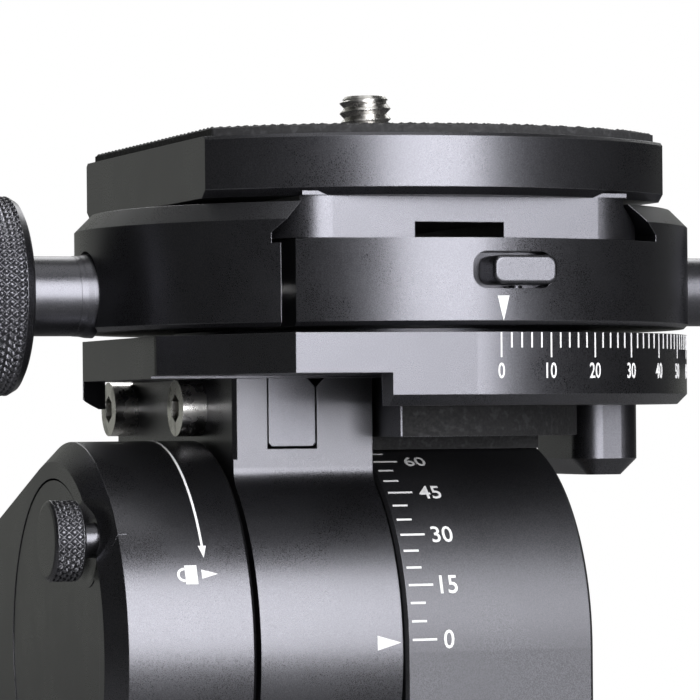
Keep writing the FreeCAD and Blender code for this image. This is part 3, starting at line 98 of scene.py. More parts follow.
class Nodes:
    """Short calls that build the nodes of one tree."""

    def __init__(self, tree: bpy.types.NodeTree) -> None:
        """Start with the tree of a material or a world, and empty it."""
        self.tree = tree
        self.tree.nodes.clear()

    def add(self, kind: str, inputs: dict | None = None, **settings: object) -> bpy.types.Node:
        """Add a node.

        Args:
            kind: the node's type name.
            inputs: a value, or another node's output socket, for each named or numbered input.
            settings: properties of the node itself.

        Returns:
            The new node.
        """
        node = self.tree.nodes.new(kind)
        for key, value in settings.items():
            setattr(node, key, value)
        for key, value in (inputs or {}).items():
            self.feed(node, key, value)
        return node

    def feed(self, node: bpy.types.Node, key: str | int, value: object) -> None:
        """Set one input of a node, by name or number, or link another node's output to it."""
        if isinstance(value, Socket):
            self.tree.links.new(value, node.inputs[key])
        else:
            node.inputs[key].default_value = value

    def maths(self, operation: str, first: object, second: object, clamp: bool = False) -> Socket:
        """The output of a Math node on two values or sockets."""
        node = self.add("ShaderNodeMath", {0: first, 1: second}, operation=operation, use_clamp=clamp)
        return node.outputs[0]

    def fit(self, value: Socket, low: float, high: float, to_low: float, to_high: float) -> Socket:
        """The output of a Map Range node, smooth and held inside its range."""
        node = self.add("ShaderNodeMapRange", {"Value": value, "From Min": low, "From Max": high,
                                               "To Min": to_low, "To Max": to_high},
                        interpolation_type="SMOOTHSTEP")
        return node.outputs["Result"]

    def blend(self, share: Socket, first: object, second: object) -> Socket:
        """A mix of two colours.

        Args:
            share: how much of the second one there is, 0 to 1.
            first, second: the colours, or their sockets.

        Returns:
            The result's socket.
        """
        node = self.add("ShaderNodeMix", data_type="RGBA")
        self.feed(node, 0, share)
        for index, colour in ((6, first), (7, second)):
            self.feed(node, index, colour if isinstance(colour, Socket) else (*colour, 1.0))
        return node.outputs[2]

    def noise(self, vector: Socket, size: float, detail: float = 2.0) -> Socket:
        """Noise from 0 to 1 whose features are about size millimetres across."""
        inputs = {"Vector": vector, "Scale": 1.0 / (size * MM), "Detail": detail}
        return self.add("ShaderNodeTexNoise", inputs).outputs["Fac"]

    def bump(self, height: Socket, depth: float, below: Socket | None = None) -> Socket:
        """A normal that follows a height.

        Args:
            height: the height's socket, 0 to 1.
            depth: what a height of 1 stands for, in millimetres.
            below: the normal that it is laid on, if not the surface's own.

        Returns:
            The normal's socket.
        """
        inputs = {"Height": height, "Distance": depth * MM, "Strength": 1.0}
        if below is not None:
            inputs["Normal"] = below
        return self.add("ShaderNodeBump", inputs).outputs["Normal"]

    def place(self) -> Socket:
        """Object coordinates, which are the row frame's."""
        return self.add("ShaderNodeTexCoord").outputs["Object"]

    def lathe(self, axis: Axis, centre: Point) -> Socket:
        """Coordinates of a turned piece: the place along its axis and the radius from it, in metres.

        Args:
            axis: the row axis that the piece was turned about.
            centre: a point on that axis, in millimetres.

        Returns:
            A vector socket (along, radius, 0), the same all the way round each tool line.
        """
        moved = self.add("ShaderNodeVectorMath", {0: self.place(), 1: [c * MM for c in centre]},
                         operation="SUBTRACT").outputs[0]
        parts = self.add("ShaderNodeSeparateXYZ", {0: moved}).outputs
        across = [parts[i] for i in range(3) if i != axis.value]
        flat = self.add("ShaderNodeCombineXYZ", {0: across[0], 1: across[1]}).outputs[0]
        radius = self.add("ShaderNodeVectorMath", {0: flat}, operation="LENGTH").outputs["Value"]
        return self.add("ShaderNodeCombineXYZ", {0: parts[axis.value], 1: radius}).outputs[0]

    def edges(self, radius: float) -> tuple[Socket, Socket]:
        """Rounded normals at the edges, and how much of an edge each place is.

        That share falls as the cosine between the rounded and the true normal grows.

        Args:
            radius: radius of the worn edge, in millimetres.

        Returns:
            The rounded normal and the share of edge, 0 to 1.
        """
        whole, none = 0.9, 0.995
        rounded = self.add("ShaderNodeBevel", {"Radius": radius * MM}, samples=4).outputs["Normal"]
        true = self.add("ShaderNodeNewGeometry").outputs["Normal"]
        match = self.add("ShaderNodeVectorMath", {0: rounded, 1: true}, operation="DOT_PRODUCT")
        return rounded, self.fit(match.outputs["Value"], whole, none, 1.0, 0.0)


class Graph(Nodes):
    """The nodes of one material, round a principled shader."""

    def __init__(self, name: str) -> None:
        """Start an empty material.

        Args:
            name: the material's name.
        """
        self.material = bpy.data.materials.new(name)
        self.material.use_nodes = True
        super().__init__(self.material.node_tree)
        self.output = self.add("ShaderNodeOutputMaterial")
        self.shader = self.add("ShaderNodeBsdfPrincipled")
        self.feed(self.output, "Surface", self.shader.outputs["BSDF"])

    def surface(self, **sockets: object) -> None:
        """Set or link the shader's own sockets, with underscores for the spaces in their names."""
        for key, value in sockets.items():
            self.feed(self.shader, key.replace("_", " "), value)


@dataclass(frozen=True)
class Anodised:
    """Black anodised aluminium: blasted grain over faint turning lines, and paler worn edges.

    The colour is the base tint times one plus a cloudy noise and a fine grain. The turning lines are
    noise that depends only on the place along the axis and the radius from it.
    """

    name: str
    axis: Axis = Axis.Z
    centre: Point = (0.0, 0.0, 0.0)
    tint: Colour = (0.105, 0.105, 0.115)
    edge_tint: Colour = (0.34, 0.34, 0.36)
    roughness: float = 0.31
    grain: float = 0.11
    grain_depth: float = 0.006
    line: float = 0.07
    line_depth: float = 0.0012
    edge: float = 0.12

    def build(self) -> Material:
        """Build the finish's nodes.

        Returns:
            The material.
        """
        graph = Graph(self.name)
        place = graph.place()
        cloud = graph.noise(place, 9.0, 3.0)
        grain = graph.noise(place, self.grain, 2.0)
        line = graph.noise(graph.lathe(self.axis, self.centre), self.line, 1.0)
        rounded, edge = graph.edges(self.edge)
        dark = graph.blend(graph.fit(grain, 0.30, 0.72, 0.0, 1.0), [c * 0.72 for c in self.tint],
                           [c * 1.35 for c in self.tint])
        cloudy = graph.blend(graph.fit(cloud, 0.35, 0.65, 0.0, 0.35), dark, [c * 1.2 for c in self.tint])
        worn = graph.maths("MULTIPLY", edge, graph.fit(cloud, 0.40, 0.62, 0.25, 0.75))
        rough = graph.maths("ADD", graph.fit(grain, 0.3, 0.7, self.roughness - 0.04, self.roughness + 0.05),
                            graph.fit(cloud, 0.3, 0.7, -0.02, 0.02))
        normal = graph.bump(line, self.line_depth, below=rounded)
        normal = graph.bump(grain, self.grain_depth, below=normal)
        graph.surface(Base_Color=graph.blend(worn, cloudy, self.edge_tint), Metallic=0.95, Roughness=rough,
                      Normal=normal)
        return graph.material


@dataclass(frozen=True)
class Steel:
    """Stainless steel, turned: bright metal with tool lines and a few duller patches."""

    name: str
    axis: Axis = Axis.Z
    centre: Point = (0.0, 0.0, 0.0)
    tint: Colour = (0.78, 0.765, 0.735)
    dull: Colour = (0.50, 0.49, 0.465)
    roughness: float = 0.24
    line: float = 0.05
    line_depth: float = 0.0016
    edge: float = 0.10

    def build(self) -> Material:
        """Build the finish's nodes.

        Returns:
            The material.
        """
        graph = Graph(self.name)
        cloud = graph.noise(graph.place(), 1.6, 3.0)
        line = graph.noise(graph.lathe(self.axis, self.centre), self.line, 2.0)
        rounded, edge = graph.edges(self.edge)
        metal = graph.blend(graph.fit(cloud, 0.42, 0.72, 0.0, 0.8), self.tint, self.dull)
        streaked = graph.blend(graph.fit(line, 0.35, 0.75, 0.0, 0.3), metal, self.dull)
        rough = graph.fit(cloud, 0.3, 0.7, self.roughness - 0.05, self.roughness + 0.12)
        graph.surface(Base_Color=graph.blend(graph.maths("MULTIPLY", edge, 0.5), streaked, (0.8, 0.79, 0.77)),
                      Metallic=1.0, Roughness=rough, Normal=graph.bump(line, self.line_depth, below=rounded))
        return graph.material


@dataclass(frozen=True)
class Bronze(Steel):
    """Bearing bronze: the same turned metal in a brown gold, a little tarnished."""

    tint: Colour = (0.58, 0.36, 0.15)
    dull: Colour = (0.30, 0.17, 0.07)
    roughness: float = 0.32


@dataclass(frozen=True)
class Rubber:
    """Dark moulded rubber: matt, with a pebbled grain and dusty high spots."""

    name: str
    tint: Colour = (0.020, 0.020, 0.021)
    dust: Colour = (0.045, 0.045, 0.047)
    roughness: float = 0.78

    def build(self) -> Material:
        """Build the finish's nodes.

        Returns:
            The material.
        """
        graph = Graph(self.name)
        place = graph.place()
        pebble = graph.noise(place, 0.35, 3.0)
        speck = graph.noise(place, 0.9, 4.0)
        _, edge = graph.edges(0.15)
        base = graph.blend(graph.fit(speck, 0.52, 0.68, 0.0, 0.8), self.tint, self.dust)
        graph.surface(Base_Color=graph.blend(graph.maths("MULTIPLY", edge, 0.5), base, self.dust),
                      Roughness=graph.fit(pebble, 0.3, 0.7, self.roughness - 0.1, self.roughness + 0.1),
                      Normal=graph.bump(pebble, 0.03))
        return graph.material


@dataclass(frozen=True)
class MarkPaint:
    """White filled engraving: matt paint, thinner in a few places."""

    name: str
    tint: Colour = (0.86, 0.86, 0.85)
    thin: Colour = (0.60, 0.60, 0.60)

    def build(self) -> Material:
        """Build the finish's nodes.

        Returns:
            The material.
        """
        graph = Graph(self.name)
        wear = graph.noise(graph.place(), 0.25, 3.0)
        graph.surface(Base_Color=graph.blend(graph.fit(wear, 0.55, 0.75, 0.0, 0.7), self.tint, self.thin),
                      Roughness=graph.fit(wear, 0.3, 0.7, 0.5, 0.65), Normal=graph.bump(wear, 0.006))
        return graph.material


Finish = Anodised | Steel | Rubber | MarkPaint
STAGE_TINT: Colour = (0.098, 0.098, 0.106)
HOUSING_TINT: Colour = (0.094, 0.094, 0.101)


# -------- the studio


COOL_WHITE: Colour = (0.97, 0.97, 1.0)


@dataclass
class Lamp:
    """One soft box: where it stands in degrees and metres, how big it is, and its power in watts."""

    name: str
    azimuth: float
    elevation: float
    distance: float
    wide: float
    high: float
    power: float
    colour: Colour = (1.0, 1.0, 1.0)

    def build(self, target: Point) -> None:
        """Stand the lamp on its sphere round the target, facing it.

        Args:
            target: the point that it faces, in metres.
        """
        light = bpy.data.lights.new(self.name, "AREA")
        light.shape, light.size, light.size_y = "RECTANGLE", self.wide, self.high
        light.energy, light.color = self.power, self.colour
        lamp = bpy.data.objects.new(self.name, light)
        turn, rise = math.radians(self.azimuth), math.radians(self.elevation)
        out = np.array([math.sin(turn) * math.cos(rise), -math.cos(turn) * math.cos(rise), math.sin(rise)])
        lamp.location = np.array(target) + self.distance * out
        lamp.rotation_euler = (math.pi / 2 - rise, 0.0, turn)
        bpy.context.scene.collection.objects.link(lamp)


@dataclass
class Studio:
    """Camera, soft boxes, pale floor and white background.

    Places and radii are in metres, angles in degrees, lens and sensor in millimetres.
    """

    camera_at: Point = (-0.1640, -0.4731, 0.1232)
    camera_turn: float = -18.82
    camera_roll: float = 0.5
    sensor: float = 36.0
    lens: float = 211.14
    shift: Flat = (-0.0154, 0.0976)
    target: Point = (0.0, 0.0, 0.115)
    floor_radius: float = 1.15
    fade_start: float = 0.25
    fade_end: float = 0.9
    floor_dim: float = 0.30
    ramp_start: float = 0.1
    ramp_end: float = 0.9
    front_level: float = 0.02
    back_level: float = 0.28
    air: Colour = (0.93, 0.95, 0.88)
    lamps: list[Lamp] = field(default_factory=lambda: [
        Lamp("key_box", 4.0, 19.5, 0.90, 0.62, 0.76, 13.2, COOL_WHITE),
        Lamp("low_strip", 19.5, -3.6, 0.90, 0.22, 0.10, 0.22, COOL_WHITE),
        Lamp("top_box", 0.0, 82.0, 0.90, 0.60, 0.60, 1.2),
        Lamp("rear_box", 160.0, 38.0, 0.90, 0.70, 0.40, 2.6),
    ])

    def build(self) -> None:
        """Make all of it."""
        self.camera()
        self.world()
        self.floor()
        for lamp in self.lamps:
            lamp.build(self.target)
            log.info("lamp %s", lamp.name)

    def camera(self) -> None:
        """The camera at its measured place, rolled a little; the shift frames the upper half."""
        data = bpy.data.cameras.new("camera")
        data.sensor_width, data.lens = self.sensor, self.lens
        data.shift_x, data.shift_y = self.shift
        data.clip_start, data.clip_end = 0.01, 20.0
        camera = bpy.data.objects.new("camera", data)
        camera.location = self.camera_at
        camera.rotation_euler = (math.pi / 2, math.radians(self.camera_roll), math.radians(self.camera_turn))
        bpy.context.scene.collection.objects.link(camera)
        bpy.context.scene.camera = camera

    def world(self) -> None:
        """A pale backdrop behind the head that fades to a dim room in front of it.

        The camera sees it as plain white from every side. To all other rays its level rises smoothly
        with the direction's Y.
        """
        world = bpy.data.worlds.new("studio_air")
        bpy.context.scene.world = world
        world.use_nodes = True
        nodes = Nodes(world.node_tree)
        output = nodes.add("ShaderNodeOutputWorld")
        way = nodes.add("ShaderNodeTexCoord").outputs["Generated"]
        back = nodes.add("ShaderNodeSeparateXYZ", {0: way}).outputs["Y"]
        ramp = nodes.fit(back, self.ramp_start, self.ramp_end, self.front_level, self.back_level)
        rays = nodes.add("ShaderNodeLightPath").outputs
        seen = rays["Is Camera Ray"]
        lit = nodes.add("ShaderNodeBackground", {"Color": (*self.air, 1.0), "Strength": ramp})
        shown = nodes.add("ShaderNodeBackground", {"Color": nodes.blend(seen, self.air, (1.0, 1.0, 1.0)),
                                                   "Strength": nodes.maths("MAXIMUM", seen, ramp)})
        clear = nodes.maths("ADD", nodes.maths("ADD", seen, rays["Is Glossy Ray"]),
                            rays["Is Transmission Ray"], clamp=True)
        mix = nodes.add("ShaderNodeMixShader", {0: clear, 1: lit.outputs[0], 2: shown.outputs[0]})
        nodes.feed(output, "Surface", mix.outputs[0])
        bpy.context.scene.view_settings.view_transform = "Standard"

    def floor(self) -> None:
        """A round pale floor that fades to the background's white, and lights the head only dimly."""
        turns = circle(96)
        rim = np.stack([np.cos(turns), np.sin(turns), np.zeros_like(turns)], axis=1) * self.floor_radius
        mesh = bpy.data.meshes.new("floor")
        mesh.from_pydata(rim.tolist(), [], [list(range(len(rim)))])
        floor = bpy.data.objects.new("floor", mesh)
        bpy.context.scene.collection.objects.link(floor)
        graph = Graph("floor_paper")
        tooth = graph.noise(graph.place(), 1.5, 3.0)
        graph.surface(Base_Color=graph.blend(graph.fit(tooth, 0.4, 0.6, 0.0, 1.0), (0.80, 0.80, 0.80),
                                             (0.84, 0.84, 0.84)), Roughness=0.9)
        far = graph.add("ShaderNodeVectorMath", {0: graph.place()}, operation="LENGTH").outputs["Value"]
        fade = graph.fit(far, self.fade_start, self.fade_end, 0.0, 1.0)
        seen = graph.add("ShaderNodeLightPath").outputs["Is Camera Ray"]
        dim = graph.add("ShaderNodeBsdfDiffuse", {"Color": (*[self.floor_dim] * 3, 1.0)}).outputs[0]
        paper = graph.add("ShaderNodeMixShader", {0: seen, 1: dim, 2: graph.shader.outputs[0]}).outputs[0]
        white = graph.add("ShaderNodeEmission", {"Color": (1.0, 1.0, 1.0, 1.0), "Strength": 1.0})
        mix = graph.add("ShaderNodeMixShader", {0: graph.maths("MULTIPLY", fade, seen),
                                                1: paper, 2: white.outputs[0]})
        graph.feed(graph.output, "Surface", mix.outputs[0])
        mesh.materials.append(graph.material)


# -------- turned, knurled and threaded pieces


def saw(phase: Array) -> Array:
    """A triangle wave of period 1: 0 at whole numbers and 1 halfway between them."""
    return 1.0 - np.abs(2.0 * np.mod(phase, 1.0) - 1.0)


@dataclass(frozen=True)
class Frame:
    """Where a mechanism's own frame stands: its height, and whether it is turned a quarter.

    A stage is built about its own X axis, and turning it lays that axis along the row's Y.
    """

    height: float
    turned: bool = False

    def row(self, points: Array) -> Array:
        """Points (N, 3) of this frame in the row frame, in millimetres."""
        x, y, z = points.T
        return np.stack([-y, x, z + self.height] if self.turned else [x, y, z + self.height], axis=1)


def finish_mesh(name: str, points: Array, faces: list[list[int]], material: Material) -> Piece:
    """Make an object of closed shells, with faces that point outwards.

    Args:
        name: the piece's name.
        points: (N, 3) places in the row frame, in millimetres.
        faces: lists of vertex numbers.
        material: its finish.

    Returns:
        The object, with its place in its mesh.
    """
    mesh = bpy.data.meshes.new(name)
    mesh.from_pydata((points * MM).tolist(), [], faces)
    work = bmesh.new()
    work.from_mesh(mesh)
    bmesh.ops.recalc_face_normals(work, faces=work.faces)
    work.to_mesh(mesh)
    work.free()
    mesh.materials.append(material)
    piece = bpy.data.objects.new(name, mesh)
    bpy.context.scene.collection.objects.link(piece)
    log.info("made %s, %d faces", name, len(mesh.polygons))
    return piece


def grid_faces(rows: int, cols: int, ring: bool = False) -> list[list[int]]:
    """Faces of a grid of points whose rows are closed loops, each point joined to the next row's.

    Args:
        rows: how many loops there are.
        cols: points in each loop.
        ring: whether the last loop joins the first. Otherwise both ends get a many-sided face.

    Returns:
        Lists of vertex numbers.
    """
    row, col = (part.ravel() for part in np.indices((rows if ring else rows - 1, cols)))
    here, there, after = row * cols, (row + 1) % rows * cols, (col + 1) % cols
    faces = np.stack([here + col, here + after, there + after, there + col], axis=1).tolist()
    if not ring:
        faces += [list(range(cols)), list(range((rows - 1) * cols, rows * cols))]
    return faces


@dataclass(frozen=True)
class Knurl:
    """Raised diamonds between two places along a turned piece.

    Two families of helical grooves cross. A point's height is the lower of the two waves
    saw(count * turn + s / pitch) and saw(count * turn - s / pitch), steepened and cut off flat.
    """

    start: float
    end: float
    count: int
    pitch: float
    depth: float
    steep: float = 1.6

    def drop(self, along: Array, turn: Array) -> Array:
        """How far each place lies under the knurl's tips, in millimetres.

        Args:
            along: each place along the axis, in millimetres.
            turn: its place round the axis, in turns.

        Returns:
            The drop at each place.
        """
        step = (along - self.start) / self.pitch
        low = np.minimum(saw(self.count * turn + step), saw(self.count * turn - step))
        inside = (along > self.start) & (along < self.end)
        return np.where(inside, self.depth * (1.0 - np.clip(self.steep * low, 0.0, 1.0)), 0.0)


@dataclass(frozen=True)
class Helix:
    """A thread: the radius falls by saw(s / pitch - turn) of its depth, so that it climbs once a turn."""

    start: float
    end: float
    pitch: float
    depth: float

    def drop(self, along: Array, turn: Array) -> Array:
        """How far each place lies under the thread's crest, in millimetres, turn being in turns."""
        inside = (along >= self.start) & (along <= self.end)
        return np.where(inside, self.depth * (1.0 - saw(along / self.pitch - turn)), 0.0)


@dataclass
class Turned:
    """A turned piece: a profile of (place along the axis, radius) swept round its axis.

    The cutter works only where the profile is wider than a share of its largest radius, and lines
    that end inside the core aren't cut into steps.
    """

    profile: list[Flat]
    cutter: Knurl | Helix
    around: int
    step: float
    worked_share: float = 0.6
    core: float = 0.5

    def stations(self) -> Array:
        """The profile with its long lines cut into short steps where the cutter works.

        Returns:
            (N, 2) places along the axis and radii.
        """
        rows = [self.profile[0]]
        for start, end in zip(self.profile, self.profile[1:]):
            span = abs(end[0] - start[0])
            worked = min(start[0], end[0]) < self.cutter.end and max(start[0], end[0]) > self.cutter.start
            parts = max(1, round(span / self.step)) if worked and end[1] > self.core else 1
            rows += [tuple(np.add(start, np.subtract(end, start) * (i + 1) / parts)) for i in range(parts)]
        return np.array(rows)

    def shell(self) -> tuple[Array, list[list[int]]]:
        """The cut surface about the X axis, whose ends close with a many-sided face.

        Returns:
            (N, 3) points and their faces.
        """
        rows = self.stations()
        turn = np.arange(self.around) / self.around
        along = np.repeat(rows[:, :1], self.around, axis=1)
        drop = self.cutter.drop(along, np.repeat(turn[None, :], len(rows), axis=0))
        outer = rows[:, 1].max() * self.worked_share
        radius = rows[:, 1:] - np.where(rows[:, 1:] > outer, drop, 0.0)
        points = np.stack([along, radius * np.cos(TURN * turn), radius * np.sin(TURN * turn)], axis=2)
        return points.reshape(-1, 3), grid_faces(len(rows), self.around)


# -------- marks


@dataclass(frozen=True)
class Rim:
    """A place on a round surface, for laying flat shapes (right, up, out) on it.

    On a drum about X, right runs along the axis and up runs round it from the front horizontal. On a
    disc about Z, up runs along the axis and right runs round it from the front.
    """

    frame: Frame
    axis: Axis
    radius: float
    along: float
    angle: float
    turned: bool = False

    def lay(self, points: Array) -> Array:
        """Lay a flat shape on the surface, on its side if turned.

        Args:
            points: (N, 3) places of the shape, in millimetres.

        Returns:
            (N, 3) places in the row frame, in millimetres.
        """
        right, up, out = points.T
        if self.turned:
            right, up = -up, right
        run, arc = (right, up) if self.axis is Axis.X else (up, right)
        turn = math.radians(self.angle) + arc / self.radius
        reach = self.radius + out
        places = [self.along + run, -reach * np.cos(turn), reach * np.sin(turn)]
        return self.frame.row(np.stack(places if self.axis is Axis.X else places[::-1], axis=1))


class Anchor(Enum):
    """The part of a text that lies at its place."""

    START = 0
    MIDDLE = 1


class Ink:
    """Gathers thin closed shapes and lays them on round surfaces."""

    PROUD = 0.035
    SUNK = 0.03
    TIP = 0.02

    def __init__(self) -> None:
        """Start with nothing drawn."""
        self.points: list[Array] = []
        self.faces: list[list[int]] = []
        self.total = 0

    def add(self, points: Array, faces: list) -> None:
        """Add one shell.

        Args:
            points: (N, 3) places in the row frame, in millimetres.
            faces: lists of vertex numbers.
        """
        self.faces += [[corner + self.total for corner in face] for face in faces]
        self.points.append(points)
        self.total += len(points)

    def stroke(self, path: list, half: list, rim: Rim) -> None:
        """A band along a path with a half width at each of its points.

        Args:
            path: (right, up) points.
            half: half of the band's width at each point.
            rim: where it is laid.
        """
        line = np.array(path, dtype=float)
        way = np.gradient(line, axis=0)
        way /= np.linalg.norm(way, axis=1, keepdims=True)
        side = np.stack([-way[:, 1], way[:, 0]], axis=1) * np.array(half, dtype=float)[:, None]
        rows = [np.concatenate([line + sign * side, np.full((len(line), 1), out)], axis=1)
                for sign, out in ((1, -self.SUNK), (-1, -self.SUNK), (-1, self.PROUD), (1, self.PROUD))]
        self.add(rim.lay(np.stack(rows, axis=1).reshape(-1, 3)), grid_faces(len(line), 4))

    def arrow(self, start: Flat, tip: Flat, half: float, rim: Rim) -> None:
        """A triangle from the middle of its base to its tip, half being half of its width."""
        self.stroke([start, tip], [half, self.TIP], rim)

    def number(self, text: str, high: float, squeeze: float, place: Anchor, rim: Rim) -> None:
        """Digits, with the middle of their height at (0, 0).

        Args:
            text: the digits.
            high: height of a digit.
            squeeze: width of a digit as a share of the font's own.
            place: which part of the text's width lies at (0, 0).
            rim: where it is laid.
        """
        curve = bpy.data.curves.new("digits", "FONT")
        curve.body, curve.extrude, curve.resolution_u, curve.offset = text, 0.01, 3, 0.008
        holder = bpy.data.objects.new("digits", curve)
        bpy.context.scene.collection.objects.link(holder)
        bpy.context.view_layer.update()
        mesh = bpy.data.meshes.new_from_object(holder.evaluated_get(bpy.context.evaluated_depsgraph_get()))
        flat = np.empty(len(mesh.vertices) * 3)
        mesh.vertices.foreach_get("co", flat)
        points = flat.reshape(-1, 3)
        low, top = points.min(axis=0), points.max(axis=0)
        scale = high / (top[1] - low[1])
        across = points[:, 0] - (low[0] if place is Anchor.START else (low[0] + top[0]) / 2)
        out = np.where(points[:, 2] > 0, self.PROUD, -self.SUNK)
        level = (points[:, 1] - (low[1] + top[1]) / 2) * scale
        self.add(rim.lay(np.stack([across * scale * squeeze, level, out], axis=1)),
                 [list(face.vertices) for face in mesh.polygons])
        bpy.data.objects.remove(holder)
        bpy.data.curves.remove(curve)
        bpy.data.meshes.remove(mesh)

    def dry(self, name: str, material: Material) -> Piece:
        """The piece that holds every shape drawn so far."""
        return finish_mesh(name, np.concatenate(self.points), self.faces, material)


@dataclass(frozen=True)
class DegreeScale:
    """Marks every few degrees round a rim: long ones with a number, and short ones between them.

    The zero mark starts at the rim's own place, and each mark runs from there by its length.
    """

    rim: Rim
    degrees: range
    every: int
    run: Flat
    long: float
    short: float
    half: float
    digit_along: float
    digit_high: float
    squeeze: float
    anchor: Anchor

    def draw(self, name: str, paint: Material) -> Piece:
        """Draw the marks.

        Args:
            name: the piece's name.
            paint: its finish.

        Returns:
            The piece.
        """
        ink = Ink()
        for degree in self.degrees:
            whole = degree % self.every == 0
            length = self.long if whole else self.short
            spot = replace(self.rim, angle=self.rim.angle + degree)
            ink.stroke([(0.0, 0.0), (length * self.run[0], length * self.run[1])], [self.half] * 2, spot)
            if whole:
                ink.number(str(degree), self.digit_high, self.squeeze, self.anchor,
                           replace(spot, along=self.digit_along))
        return ink.dry(name, paint)


